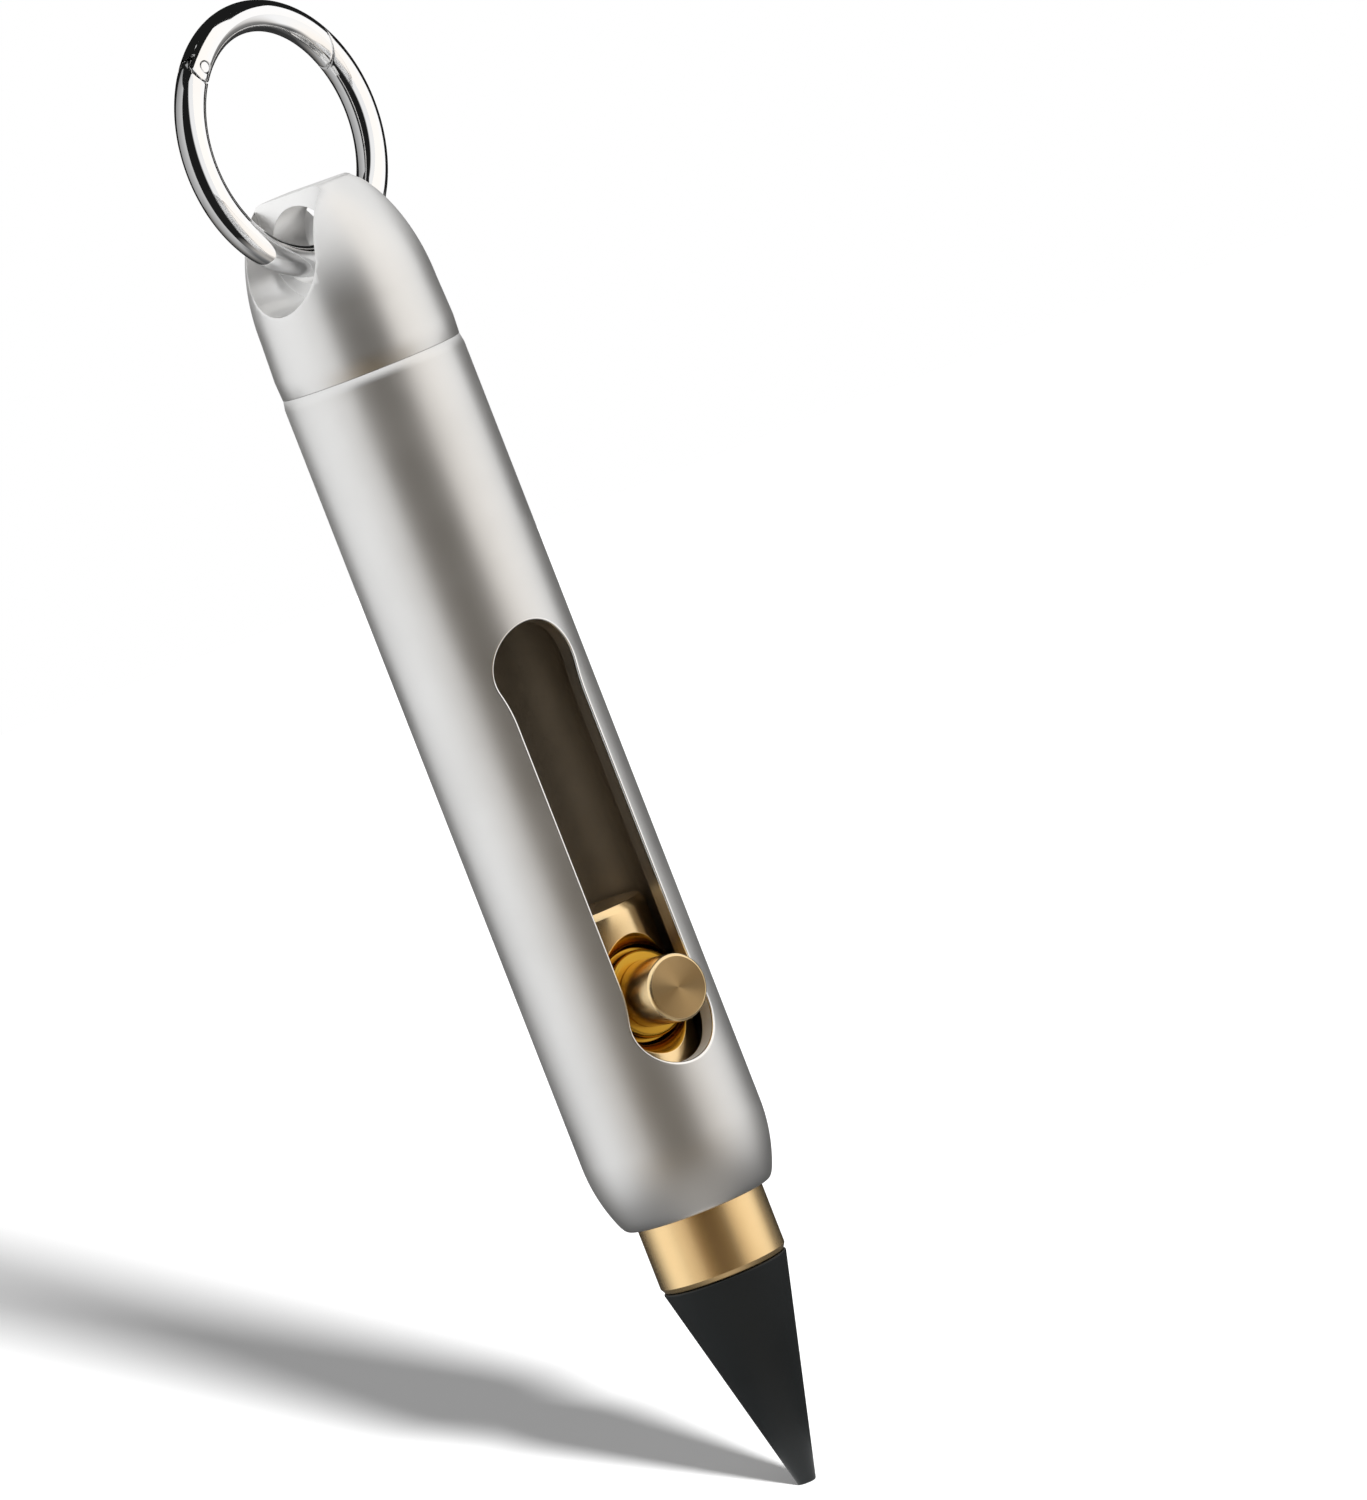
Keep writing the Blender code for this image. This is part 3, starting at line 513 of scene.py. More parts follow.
def makeBarrel(look):
    low, high = boxOf("barrel")
    radius = high.x
    bore = radius - look["wall"]
    columns = look["columns"]
    finishes = [satinSteel, drilledPaintedShadeSteel, milledPaintedHighlightSteel, blastedPaintedLightSteel]
    outer, boreWallPaintedShade, rimPaintedHighlight, wallPaintedLight = range(len(finishes))
    shape = bmesh.new()

    def ring(r, z, across=0.0):
        # one row of points round the barrel, from the slot's right edge to its left edge
        start = math.asin(across / r)
        points = []
        for i in range(columns + (across > tiny)):
            turn = start + (math.tau - 2 * start) * i / columns
            points.append(shape.verts.new((r * math.sin(turn), -r * math.cos(turn), z)))
        return points if across > tiny else points + points[:1]

    # outside, from the lip up: lip, nose, slot rows, top chamfer
    noseRound = (look["noseLength"] ** 2 + look["noseDrop"] ** 2) / (2 * look["noseDrop"])
    noseTurn = math.degrees(math.asin(look["noseLength"] / noseRound))
    noseTop = low.z + look["lipHeight"] + look["noseLength"]
    lipTop = Vector((radius - look["noseDrop"], low.z + look["lipHeight"]))
    lipEnd = Vector((lipTop.x - look["lipWidth"], low.z))
    lipBend = Vector((lipTop.x - look["lipHeight"] * math.tan(math.radians(noseTurn)), low.z))
    profile = []
    for step in range(look["lipSteps"]):
        t = step / look["lipSteps"]
        profile.append(lipEnd * (1 - t) ** 2 + lipBend * 2 * t * (1 - t) + lipTop * t**2)
    profile += arcPoints((radius - noseRound, noseTop), noseRound, -noseTurn, 0, look["noseSteps"])
    outside = [ring(r, z) for r, z in profile]

    edge = slotSide(look, low.z + look["slotSetback"])
    rim = look["rimRound"]
    outerRows = [ring(radius, up + rim * nUp, across + rim * nAcross) for across, up, nAcross, nUp in edge]
    innerRows = [ring(bore, up, across) for across, up, nAcross, nUp in edge]
    inset, drop = look["topChamfer"]
    corner = look["topRound"]
    top = [(radius, high.z - drop - look["topEase"]), (radius, high.z - drop)]
    top += [(radius - inset, high.z - corner), (radius - inset - corner, high.z)]
    outside += outerRows + [ring(r, z) for r, z in top]

    # inside, from the top down to the mouth
    ease = look["boreEase"]
    inside = [ring(bore + ease, high.z), ring(bore, high.z - ease)]
    inside += innerRows[::-1]
    mouth, ease = look["mouthRadius"], look["mouthEase"]
    mouthTop = low.z + look["mouthDepth"]
    mouthSteps = [(bore, mouthTop), (mouth, mouthTop), (mouth, low.z + ease), (mouth + ease, low.z)]
    inside += [ring(r, z) for r, z in mouthSteps]
    rows = outside + inside + outside[:1]
    # the bore's faces take the steel with painted shade
    for i, (first, second) in enumerate(zip(rows, rows[1:])):
        joinRings(shape, first, second, boreWallPaintedShade if len(outside) <= i < len(rows) - 2 else outer)

    # rounded rim and wall of the slot, on both sides
    for sign, end in ((1, 0), (-1, -1)):
        strips = [[row[end] for row in outerRows]]
        for step in range(1, look["rimSteps"] + 1):
            bend = math.pi / 2 * step / look["rimSteps"]
            offset, depth = rim * (1 - math.sin(bend)), rim * (1 - math.cos(bend))
            strip = []
            for across, up, nAcross, nUp in edge:
                x, z = across + offset * nAcross, up + offset * nUp
                strip.append(shape.verts.new((sign * x, -math.sqrt((radius - depth) ** 2 - x**2), z)))
            strips.append(strip)
        # the rounded rim takes the painted highlight
        for first, second in zip(strips, strips[1:]):
            joinRings(shape, first, second, rimPaintedHighlight)
        wall = (strips[-1], [row[end] for row in innerRows])
        holeEnd = look["holeSteps"]
        # the front hole's wall takes the painted light
        joinRings(shape, *[strip[: holeEnd + 1] for strip in wall], wallPaintedLight)  # the front hole's wall
        # past the hole, the slot's wall takes the bore's painted shade
        joinRings(shape, *[strip[holeEnd:] for strip in wall], boreWallPaintedShade)
    piece = storeMesh("barrelTube", shape, Matrix())
    finishPiece(piece, "barrel", "barrel", finishes)


makeBarrel(barrelLook)


capLook = {
    "spigot": 5.15, "spigotGap": 0.15, "spigotRound": 0.4, "wall": 1.1, "taper": 0.13, "taperHeight": 3.7,
    "domeHeight": 9.1, "domeSteps": 24, "crownRound": 0.7, "crownSkip": 3,  # steps that the rounding takes up
    "baseEase": (0.09, 1.2), "baseBow": 0.03, "baseRound": 0.04, "seat": 0.04,
    "lugTurn": 17.1, "lugThickness": 3.0, "cutWidth": 5.7, "cutRise": 4.85, "cutSteps": 40,
    "holeRadius": 2.4, "holeRise": 8.25, "holeSteps": 72, "edge": 0.045, "edgeSpacing": 0.09, "columns": 96,
}


def makeCap(look):
    low, high = boxOf("end_cap")
    base = low.z + look["spigot"] - look["seat"]
    radius = high.x
    spigot = radius - look["wall"] - look["spigotGap"]
    shoulder = base + look["taperHeight"]
    dome = radius - look["taper"]
    # the dome is an ellipse cut short by the flat crown, and the corner between them is rounded
    crownTurn = math.asin((high.z - shoulder) / look["domeHeight"])
    crown = dome * math.cos(crownTurn)
    corners = [(0, high.z, 0), (crown, high.z, look["crownRound"])]
    for step in range(look["crownSkip"], look["domeSteps"] + 1):
        turn = crownTurn * (1 - step / look["domeSteps"])
        corners.append((dome * math.cos(turn), shoulder + look["domeHeight"] * math.sin(turn), 0))
    inset, rise = look["baseEase"]
    corners[-1] = (dome, shoulder, 0)
    corners += [(radius - look["baseBow"], base + rise, 0), (radius - inset, base, look["baseRound"])]
    corners += [(spigot, base, 0), (spigot, low.z, look["spigotRound"]), (0, low.z, 0)]
    piece = lathe("endCap", roundedProfile(corners), look["columns"])
    finishes = [satinCapSteel, cutCapPaintedLightSteel]
    for material in finishes:
        piece.data.materials.append(material)  # before the cuts, whose faces take the second

    lugFrame = Matrix.Rotation(math.radians(look["lugTurn"]), 4, "Z")
    half = look["cutWidth"] / 2
    cutCentre = base + look["cutRise"] + half
    outline = arcPoints((0, cutCentre), half, 180, 360, look["cutSteps"])
    outline += [(half, high.z + half), (-half, high.z + half)]
    sideways = Matrix.Rotation(math.radians(90), 4, "Z")
    # the cut faces take the second steel, painted lighter as if lit
    for side in (1, -1):
        away = Matrix.Translation((side * (look["lugThickness"] / 2 + radius) * mm, 0, 0))
        carve(piece, prism("lugCut", outline, radius, lugFrame @ away @ sideways, finish=1))
    ringHole = arcPoints((0, base + look["holeRise"]), look["holeRadius"], 0, 360, look["holeSteps"])[:-1]
    carve(piece, prism("ringHole", ringHole, look["lugThickness"], lugFrame @ sideways, finish=1))
    breakEdges(piece, look["edge"], look["edgeSpacing"])
    finishPiece(piece, "barrel", "end_cap", finishes)


makeCap(capLook)


knobLow, knobHigh = boxOf("slide_knob")
knobHeight = (knobLow.z + knobHigh.z) / 2
knobPlace = Matrix.Translation((0, 0, knobHeight * mm)) @ Matrix.Rotation(math.radians(90), 4, "X")


slideLook = {
    "rodRadius": 3.7, "rodChamfer": (0.2, 0.45), "rodRounds": (0.05, 0.12),
    "collarLength": 3.4, "collarTopRound": 0.3, "collarRound": 0.05,
    "socketRadius": 2.45, "socketDepth": 3.7, "socketRound": 0.05,
    "pocketRadius": 3.05, "pocketFloor": 1.0, "pocketChamfer": 0.7, "pocketOver": 1.0, "pocketColumns": 96,
    "mouthRound": 0.6, "edge": 0.06, "edgeSpacing": 0.06,
}


def makeSlide(look):
    low, high = boxOf("slide")
    collar = high.x
    collarTop = low.z + look["collarLength"]
    socketEnd = low.z + look["socketDepth"]
    rod, socket = look["rodRadius"], look["socketRadius"]
    inset, drop = look["rodChamfer"]
    upper, lower = look["rodRounds"]
    corners = [(0, high.z, 0), (rod - inset, high.z, upper), (rod, high.z - drop, lower), (rod, collarTop, 0)]
    corners += [(collar, collarTop, look["collarTopRound"]), (collar, low.z, look["collarRound"])]
    corners += [(socket, low.z, look["socketRound"]), (socket, socketEnd, 0), (0, socketEnd, 0)]
    piece = lathe("slideRod", roundedProfile(corners))
    finishes = [slideBrass, pocketPaintedShadeBrass]
    for material in finishes:
        piece.data.materials.append(material)  # before the cuts, whose faces take the second
    mouth = look["pocketRadius"]
    over = collar + look["pocketOver"]  # the cutter stands out of the rod
    corners = [(0, over, 0), (mouth + look["pocketChamfer"] + over - rod, over, 0)]
    corners += [(mouth, rod - look["pocketChamfer"], look["mouthRound"])]
    corners += [(mouth, -look["pocketFloor"], 0), (0, -look["pocketFloor"], 0)]
    # the pocket's faces take the brass with painted shade
    pocket = lathe("plungerPocket", roundedProfile(corners), look["pocketColumns"], knobPlace, finish=1)
    carve(piece, pocket)
    breakEdges(piece, look["edge"], look["edgeSpacing"])
    finishPiece(piece, "slide", "slide", finishes)


plungerLook = {
    "bossRadius": 2.69, "bossHeight": 1.1, "bossRound": 0.3, "flange": 1.1, "flangeRound": 0.08,
    "stemRadius": 1.5, "stemRound": 0.15, "holeRadius": 1.25, "holeDepth": 1.85, "holeRound": 0.05,
    "columns": 112,
}


def makePlunger(look):
    low, high = boxOf("lock_plunger")
    top, end = -low.y, -high.y
    bossFoot = top - look["bossHeight"]
    flangeFoot = bossFoot - look["flange"]
    holeEnd = top - look["holeDepth"]
    hole, boss, flange, stem = look["holeRadius"], look["bossRadius"], high.x, look["stemRadius"]
    corners = [(0, holeEnd, 0), (hole, holeEnd, 0), (hole, top, look["holeRound"])]
    corners += [(boss, top, look["bossRound"]), (boss, bossFoot, 0)]
    corners += [(flange, bossFoot, look["flangeRound"]), (flange, flangeFoot, look["flangeRound"])]
    corners += [(stem, flangeFoot, 0), (stem, end, look["stemRound"]), (0, end, 0)]
    # the plunger takes the pocket's painted shade
    piece = lathe("lockPlunger", roundedProfile(corners), look["columns"], knobPlace)
    finishPiece(piece, "lock", "lock_plunger", [pocketPaintedShadeBrass])


knobLook = {
    "round": 0.25, "seatRound": 0.08, "studRadius": 1.2, "studLength": 1.85, "studRound": 0.1,
    "flatness": 0.97, "columns": 128,
}


def makeKnob(look):
    face = -knobLow.y
    end = -knobHigh.y
    seat = end + look["studLength"]
    radius, stud = knobHigh.x, look["studRadius"]
    corners = [(0, face, 0), (radius, face, look["round"]), (radius, seat, look["seatRound"])]
    corners += [(stud, seat, 0), (stud, end, look["studRound"]), (0, end, 0)]
    piece = lathe("slideKnob", roundedProfile(corners), look["columns"], knobPlace)
    # only the flat end shows its tool rings, and its brass is darker as a painted shade of the grooves
    for polygon in piece.data.polygons:
        polygon.material_index = int(polygon.normal.z > look["flatness"])
    finishPiece(piece, "lock", "slide_knob", [polishedBrass, turnedPaintedShadeBrass])


lockSpringLook = {"coilRadius": 2.1, "wire": 0.35, "turns": 2.5, "stepsATurn": 48, "sides": 12, "press": 0.8}


def makeLockSpring(look):
    low, high = boxOf("lock_spring")
    wire = look["wire"] / 2
    rise = high.y - low.y - 2 * wire
    count = round(look["turns"] * look["stepsATurn"])
    shape = bmesh.new()
    rows = []
    for step in range(count + 1):
        turn = math.tau * step / look["stepsATurn"]
        outward = Vector((math.cos(turn), math.sin(turn), 0))
        onward = Vector((-outward.y, outward.x, rise / (math.tau * look["turns"] * look["coilRadius"])))
        aside = onward.normalized().cross(outward)
        middle = outward * look["coilRadius"] + Vector((0, 0, wire - high.y + rise * step / count))
        around = [math.tau * k / look["sides"] for k in range(look["sides"])]
        row = [shape.verts.new(middle + wire * (outward * math.cos(a) + aside * math.sin(a))) for a in around]
        rows.append(row + row[:1])
    piece = storeTube("lockSpring", shape, rows, knobPlace)
    finishPiece(piece, "slide", "lock_spring", [drawnSpringSteel])
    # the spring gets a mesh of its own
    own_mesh(piece)


makeSlide(slideLook)
makePlunger(plungerLook)
makeKnob(knobLook)
makeLockSpring(lockSpringLook)


ringLook = {
    "wire": 0.95, "step": 1.25, "sides": 48, "turn": 17.1, "hinge": -41.0, "hingeOver": 15.0,
    "latch": 56.0, "latchGap": 0.08, "latchOver": 20.0, "latchSpread": 20.0, "latchSteps": 32,
    "knuckle": 0.9, "knuckleGap": 0.1, "knuckleSteps": 40, "holeSteps": 64,
    "tongueRadius": 0.8, "tongueThickness": 0.8, "tongueRoot": 1.7, "tongueSteps": 32,
    "pin": 0.35, "pinGap": 0.05, "pinInset": 0.05, "pinRound": 0.06, "pinColumns": 48,
    "forkGap": 0.1, "forkRun": 0.15, "edge": 0.045, "edgeSpacing": 0.03,
    "boreRadius": 0.45, "boreDepth": 2.7, "boreTurn": 10.0, "boreColumns": 40,
}
ringBottom = boxOf("ring_body")[0].z
ringTop = boxOf("ring_gate")[1].z
ringHeight = (ringBottom + ringTop) / 2
ringRadius = (ringTop - ringBottom) / 2 - ringLook["wire"]
ringTurn = Matrix.Rotation(math.radians(ringLook["turn"]), 4, "Z")
ringFrame = Matrix.Translation((0, 0, ringHeight * mm)) @ ringTurn


def ringPoint(angle, radius=ringRadius):
    turn = math.radians(angle)
    return Vector((radius * math.sin(turn), radius * math.cos(turn)))  # right and up, clockwise from the top


def besides(point, distance, angle):
    turn = math.radians(angle)
    return point + distance * Vector((math.cos(turn), math.sin(turn)))


hingePoint = ringPoint(ringLook["hinge"])
latchPoint = ringPoint(ringLook["latch"])
hingePlace = Matrix.Translation((hingePoint.x * mm, 0, hingePoint.y * mm))


def ringWire(name, start, end):
    shape = bmesh.new()
    rows = []
    count = round((end - start) / ringLook["step"])
    sides = ringLook["sides"]
    for i in range(count + 1):
        angle = start + (end - start) * i / count
        row = []
        for k in range(sides):
            around = math.tau * k / sides
            right, up = ringPoint(angle, ringRadius + ringLook["wire"] * math.cos(around))
            row.append(shape.verts.new((right, ringLook["wire"] * math.sin(around), up)))
        rows.append(row + row[:1])
    return storeTube(name, shape, rows, ringFrame)


def latchCut(inner, outer):
    # a shell about the hinge pin, so that the latch faces part along the gate's swing
    aim = math.degrees(math.atan2(latchPoint.y - hingePoint.y, latchPoint.x - hingePoint.x))
    start, end = aim - ringLook["latchSpread"], aim + ringLook["latchSpread"]
    outline = arcPoints(hingePoint, outer, start, end, ringLook["latchSteps"])
    outline += arcPoints(hingePoint, inner, end, start, ringLook["latchSteps"])
    return prism("latchCut", outline, 2 * ringLook["wire"], ringFrame)


def hingeCut(radius, halfLength):
    outline = arcPoints(hingePoint, radius, 0, 360, ringLook["holeSteps"])[:-1]
    return prism("hingeCut", outline, halfLength, ringFrame)


def makeRingBody(look):
    wide = 2 * look["wire"]  # cutters reach past the wire
    piece = ringWire("ringBody", look["latch"] - look["latchOver"], 360 + look["hinge"])
    latch = (latchPoint - hingePoint).length + look["latchGap"] / 2
    carve(piece, latchCut(latch - 3 * look["wire"], latch))
    carve(piece, hingeCut(look["knuckle"] + look["knuckleGap"], wide))
    root = ringPoint(look["hinge"] - math.degrees(look["tongueRoot"] / ringRadius))
    back = math.degrees(math.atan2(root.y - hingePoint.y, root.x - hingePoint.x))
    radius = look["tongueRadius"]
    tongue = arcPoints(hingePoint, radius, back - 90, back - 270, look["tongueSteps"])
    tongue += [besides(root, radius, back + 90), besides(root, radius, back - 90)]
    carve(piece, prism("tongue", tongue, look["tongueThickness"] / 2, ringFrame), "UNION")
    carve(piece, hingeCut(look["pin"] + look["pinGap"], wide))
    breakEdges(piece, look["edge"], look["edgeSpacing"])
    bakePlace(piece)
    finishPiece(piece, "key_ring", "ring_body", [mirrorChrome])


def makeRingGate(look):
    wide = 2 * look["wire"]  # cutters reach past the wire
    piece = ringWire("ringGate", look["hinge"] - look["hingeOver"], look["latch"] + look["latchOver"])
    latch = (latchPoint - hingePoint).length - look["latchGap"] / 2
    carve(piece, latchCut(latch, latch + 4 * look["wire"]))
    back = 180 - look["hinge"]
    knuckle = arcPoints(hingePoint, look["knuckle"], back - 90, back + 90, look["knuckleSteps"])
    for side in (1, -1):
        near = besides(hingePoint, wide, back + 90 * side)
        far = besides(near, 2 * wide, back)
        knuckle += [near, far][::side]
    carve(piece, prism("knuckleEnd", knuckle, wide, ringFrame))
    forkHalf = look["tongueThickness"] / 2 + look["forkGap"]
    carve(piece, hingeCut(look["tongueRadius"] + look["forkRun"], forkHalf))
    carve(piece, hingeCut(look["pin"] + look["pinGap"], wide))
    lean = Matrix.Rotation(math.radians(90 + look["hinge"] + look["boreTurn"]), 4, "Y")
    radius, depth = look["boreRadius"], look["boreDepth"]
    bore = [(0, depth), (radius, depth), (radius, 0), (0, 0)]
    carve(piece, lathe("springBore", bore, look["boreColumns"], ringFrame @ hingePlace @ lean))
    breakEdges(piece, look["edge"], look["edgeSpacing"])
    bakePlace(piece)
    finishPiece(piece, "gate", "ring_gate", [mirrorChrome])


def makeGatePin(look):
    half = look["wire"] - look["pinInset"]
    pin, rounding = look["pin"], look["pinRound"]
    corners = [(0, half, 0), (pin, half, rounding), (pin, -half, rounding), (0, -half, 0)]
    upright = hingePlace @ Matrix.Rotation(math.radians(90), 4, "X")
    piece = lathe("gatePin", roundedProfile(corners), look["pinColumns"], ringFrame @ upright)
    finishPiece(piece, "gate", "gate_pin", [mirrorChrome])


makeRingBody(ringLook)
makeRingGate(ringLook)
makeGatePin(ringLook)

# the gate's hidden spring and plunger keep their CAD shape
for node in ("gate_spring", "gate_plunger"):
    shown = frame["nodes"][node]
    shown.data.materials.clear()
    shown.data.materials.append(drawnSpringSteel)
print("pieces dressed")


cameraLook = {
    "azimuth": -31.4, "elevation": 5.0, "roll": 21.3,  # the pencil leans left in the picture
    "lens": 300.0, "sensor": 36.0, "frameHeight": 89.9, "clip": (0.01, 10.0),
    "axisHeight": 43.95, "besideAxis": 9.07,  # picture's centre, up from the point's end and beside the axis
}
azimuth = math.radians(cameraLook["azimuth"])
elevation = math.radians(cameraLook["elevation"])
towards = Vector((math.sin(azimuth), -math.cos(azimuth), 0))  # from the pencil to the camera, level
rightward = Vector((math.cos(azimuth), math.sin(azimuth), 0))


def makeCamera(look):
    camera = bpy.data.objects.new("camera", bpy.data.cameras.new("camera"))
    bpy.context.scene.collection.objects.link(camera)
    camera.data.lens = look["lens"]
    camera.data.sensor_width = look["sensor"]
    camera.data.clip_start, camera.data.clip_end = look["clip"]
    back = towards * math.cos(elevation) + Vector((0, 0, math.sin(elevation)))
    up = back.cross(rightward)
    roll = math.radians(look["roll"])
    cameraUp = up * math.cos(roll) + rightward * math.sin(roll)
    cameraRight = rightward * math.cos(roll) - up * math.sin(roll)
    distance = look["frameHeight"] * mm * look["lens"] / look["sensor"]
    target = Vector((0, 0, look["axisHeight"] * mm)) + rightward * look["besideAxis"] * mm
    place = Matrix((cameraRight, cameraUp, back)).transposed().to_4x4()
    place.translation = target + back * distance
    camera.matrix_world = place
    bpy.context.scene.camera = camera


makeCamera(cameraLook)
print("camera set")


studioLook = {
    "floorRadius": 0.9, "floorSides": 96, "floorColour": (0.93, 0.93, 0.93), "surroundLight": 0.3,
    "lamps": [
        {"name": "leftSoftbox", "turn": -78, "rise": 12, "distance": 0.6, "size": (0.36, 0.9), "power": 0.22,
         "colour": (1.0, 1.0, 1.0)},
        {"name": "rightSoftbox", "turn": 82, "rise": 12, "distance": 0.6, "size": (0.30, 0.9), "power": 0.18,
         "colour": (1.0, 0.98, 0.95)},
    ],
    # cloths are seen only in reflections, and veils add light for the ring alone or for the rest alone
    # rows are (radius, height, stops) in metres, and stops are (turn, grey, warmth) round the pencil
    "warmTint": (1.4, 0.92, 0.35), "clothStep": 3,  # degrees
    "cloths": [
        {"name": "frontCloth", "from": -58, "to": 39, "rows": [(0.34, 0.0, "dark"), (0.34, 0.7, "dark")]},
        {"name": "leftCloth", "from": -128, "to": -58, "rows": [(0.34, 0.0, "left"), (0.34, 0.7, "left")]},
        {"name": "rightCloth", "from": 39, "to": 119, "rows": [(0.34, 0.0, "right"), (0.34, 0.7, "right")]},
        {"name": "backCloth", "from": 119, "to": 232, "rows": [(0.34, 0.0, "dark"), (0.34, 0.7, "dark")]},
        {"name": "roofCloth", "from": -180, "to": 180, "rows": [
            (0.002, 0.16, "dark"), (0.045, 0.16, "dark")]},
        {"name": "cornerCloth", "from": 95, "to": 119, "rows": [(0.335, 0.24, "dark"), (0.335, 0.7, "dark")]},
        {"name": "floorCloth", "from": -180, "to": 180, "rows": [
            (0.005, 0.0004, "near"), (0.035, 0.0004, "near"), (0.065, 0.0004, "far"), (0.34, 0.0004, "far")]},
        {"name": "roofVeil", "seenBy": "rest", "from": -180, "to": 180, "rows": [
            (0.002, 0.155, "full"), (0.045, 0.155, "full")]},
        {"name": "cornerVeil", "seenBy": "rest", "from": 95, "to": 119, "rows": [
            (0.33, 0.24, "full"), (0.33, 0.7, "full")]},
        {"name": "floorVeil", "seenBy": "rest", "from": -125, "to": 42, "rows": [
            (0.035, 0.0006, "none"), (0.065, 0.0006, "floorVeil"), (0.32, 0.0006, "floorVeil")]},
        {"name": "ringFloorVeil", "seenBy": "ring", "from": 0, "to": 92, "rows": [
            (0.035, 0.0006, "none"), (0.065, 0.0006, "ringFloor"), (0.32, 0.0006, "ringFloor")]},
        {"name": "leftVeil", "seenBy": "rest", "from": -128, "to": -29, "rows": [
            (0.32, 0.0, "leftVeil"), (0.32, 0.7, "leftVeil")]},
        {"name": "frontVeil", "seenBy": "rest", "from": -29, "to": 39, "rows": [
            (0.325, 0.0, "dim"), (0.325, 0.7, "dim")]},
        {"name": "farVeil", "seenBy": "rest", "from": 119, "to": 232, "rows": [
            (0.325, 0.0, "dim"), (0.325, 0.7, "dim")]},
        {"name": "highVeil", "seenBy": "rest", "from": -29, "to": 39, "rows": [
            (0.32, 0.15, "none"), (0.32, 0.26, "full"), (0.32, 0.7, "full")]},
        {"name": "backVeil", "seenBy": "rest", "from": 119, "to": 232, "rows": [
            (0.32, 0.08, "none"), (0.32, 0.2, "full"), (0.32, 0.7, "full")]},
        {"name": "ringVeil", "seenBy": "ring", "from": 2, "to": 39, "rows": [
            (0.32, 0.0, "ringVeil"), (0.32, 0.7, "ringVeil")]},
    ],
    "stops": {
        "dark": [(-180, 0.012, 0), (270, 0.012, 0)],
        "dim": [(-180, 0.033, 0.16), (270, 0.033, 0.16)],
        "left": [(-128, 0.3, 0), (-58, 0.58, 0)],
        "right": [(39, 1.07, 0.08), (80, 1.07, 0.08), (92, 1.07, 0.03), (119, 1.07, 0.0)],
        "leftVeil": [(-128, 0.7, 0), (-59, 0.42, 0), (-58, 0.95, 0), (-29, 0.95, 0)],
        "ringVeil": [(2, 0, 0), (10, 0.9, 0), (39, 0.9, 0)],
        "none": [(-180, 0, 0), (270, 0, 0)],
        "full": [(-180, 0.95, 0), (270, 0.95, 0)],
        "near": [(-180, 0.08, 0), (-125, 0.10, 0), (-80, 0.14, 0), (-49, 0.22, 0), (-19, 0.36, 0.1),
                 (0, 0.40, 0.1), (12, 0.40, 0.1), (39, 0.32, 0.1), (80, 0.14, 0), (125, 0.10, 0),
                 (180, 0.08, 0)],
        "far": [(-180, 0.03, 0), (-146, 0.04, 0), (-119, 0.24, 0.1), (-110, 0.33, 0), (-59, 0.58, 0),
                (-58, 0.012, 0), (0, 0.015, 0), (14, 0.03, 0), (28, 0.09, 0), (42, 0.35, 0.3),
                (57, 0.72, 0.15), (73, 0.94, 0.06), (92, 1.0, 0), (104, 0.7, 0.05), (114, 0.25, 0.05),
                (146, 0.05, 0), (180, 0.03, 0)],
        "floorVeil": [(-125, 0, 0), (-119, 0.05, 0), (-104, 0.35, 0), (-92, 0.6, 0), (-73, 0.5, 0),
                      (-59, 0.2, 0.1), (-58, 0.77, 0.12), (-42, 0.56, 0.2), (-28, 0.33, 0.4),
                      (-14, 0.15, 0.75), (0, 0.07, 0.97), (14, 0.08, 1.1), (28, 0.08, 1.27), (42, 0, 0.3)],
        "ringFloor": [(0, 0, 0), (10, 0.93, 0), (28, 0.88, 0), (42, 0.65, 0), (57, 0.3, 0), (73, 0.1, 0),
                      (92, 0, 0)],
    },
    "shadowLamp": {"turn": 12.45, "rise": 12.5, "strength": 16.0, "angle": 3.6},
}


def turnedFrom(degrees):
    turn = math.radians(degrees)
    return towards * math.cos(turn) + rightward * math.sin(turn)  # positive is to the camera's right


def plainMaterial(name, colour):
    material = bpy.data.materials.new(name)
    material.use_nodes = True
    shader = material.node_tree.nodes["Principled BSDF"]
    shader.inputs["Base Color"].default_value = (*colour, 1)
    shader.inputs["Roughness"].default_value = 1.0
    shader.inputs["Specular IOR Level"].default_value = 0.0
    return material


def makeFloor(look):
    shape = bmesh.new()
    sides, radius = look["floorSides"], look["floorRadius"] / mm
    bmesh.ops.create_circle(shape, cap_ends=True, segments=sides, radius=radius)
    floor = storeMesh("floor", shape, Matrix())
    floor.data.materials.append(plainMaterial("paleFloor", look["floorColour"]))
    return floor


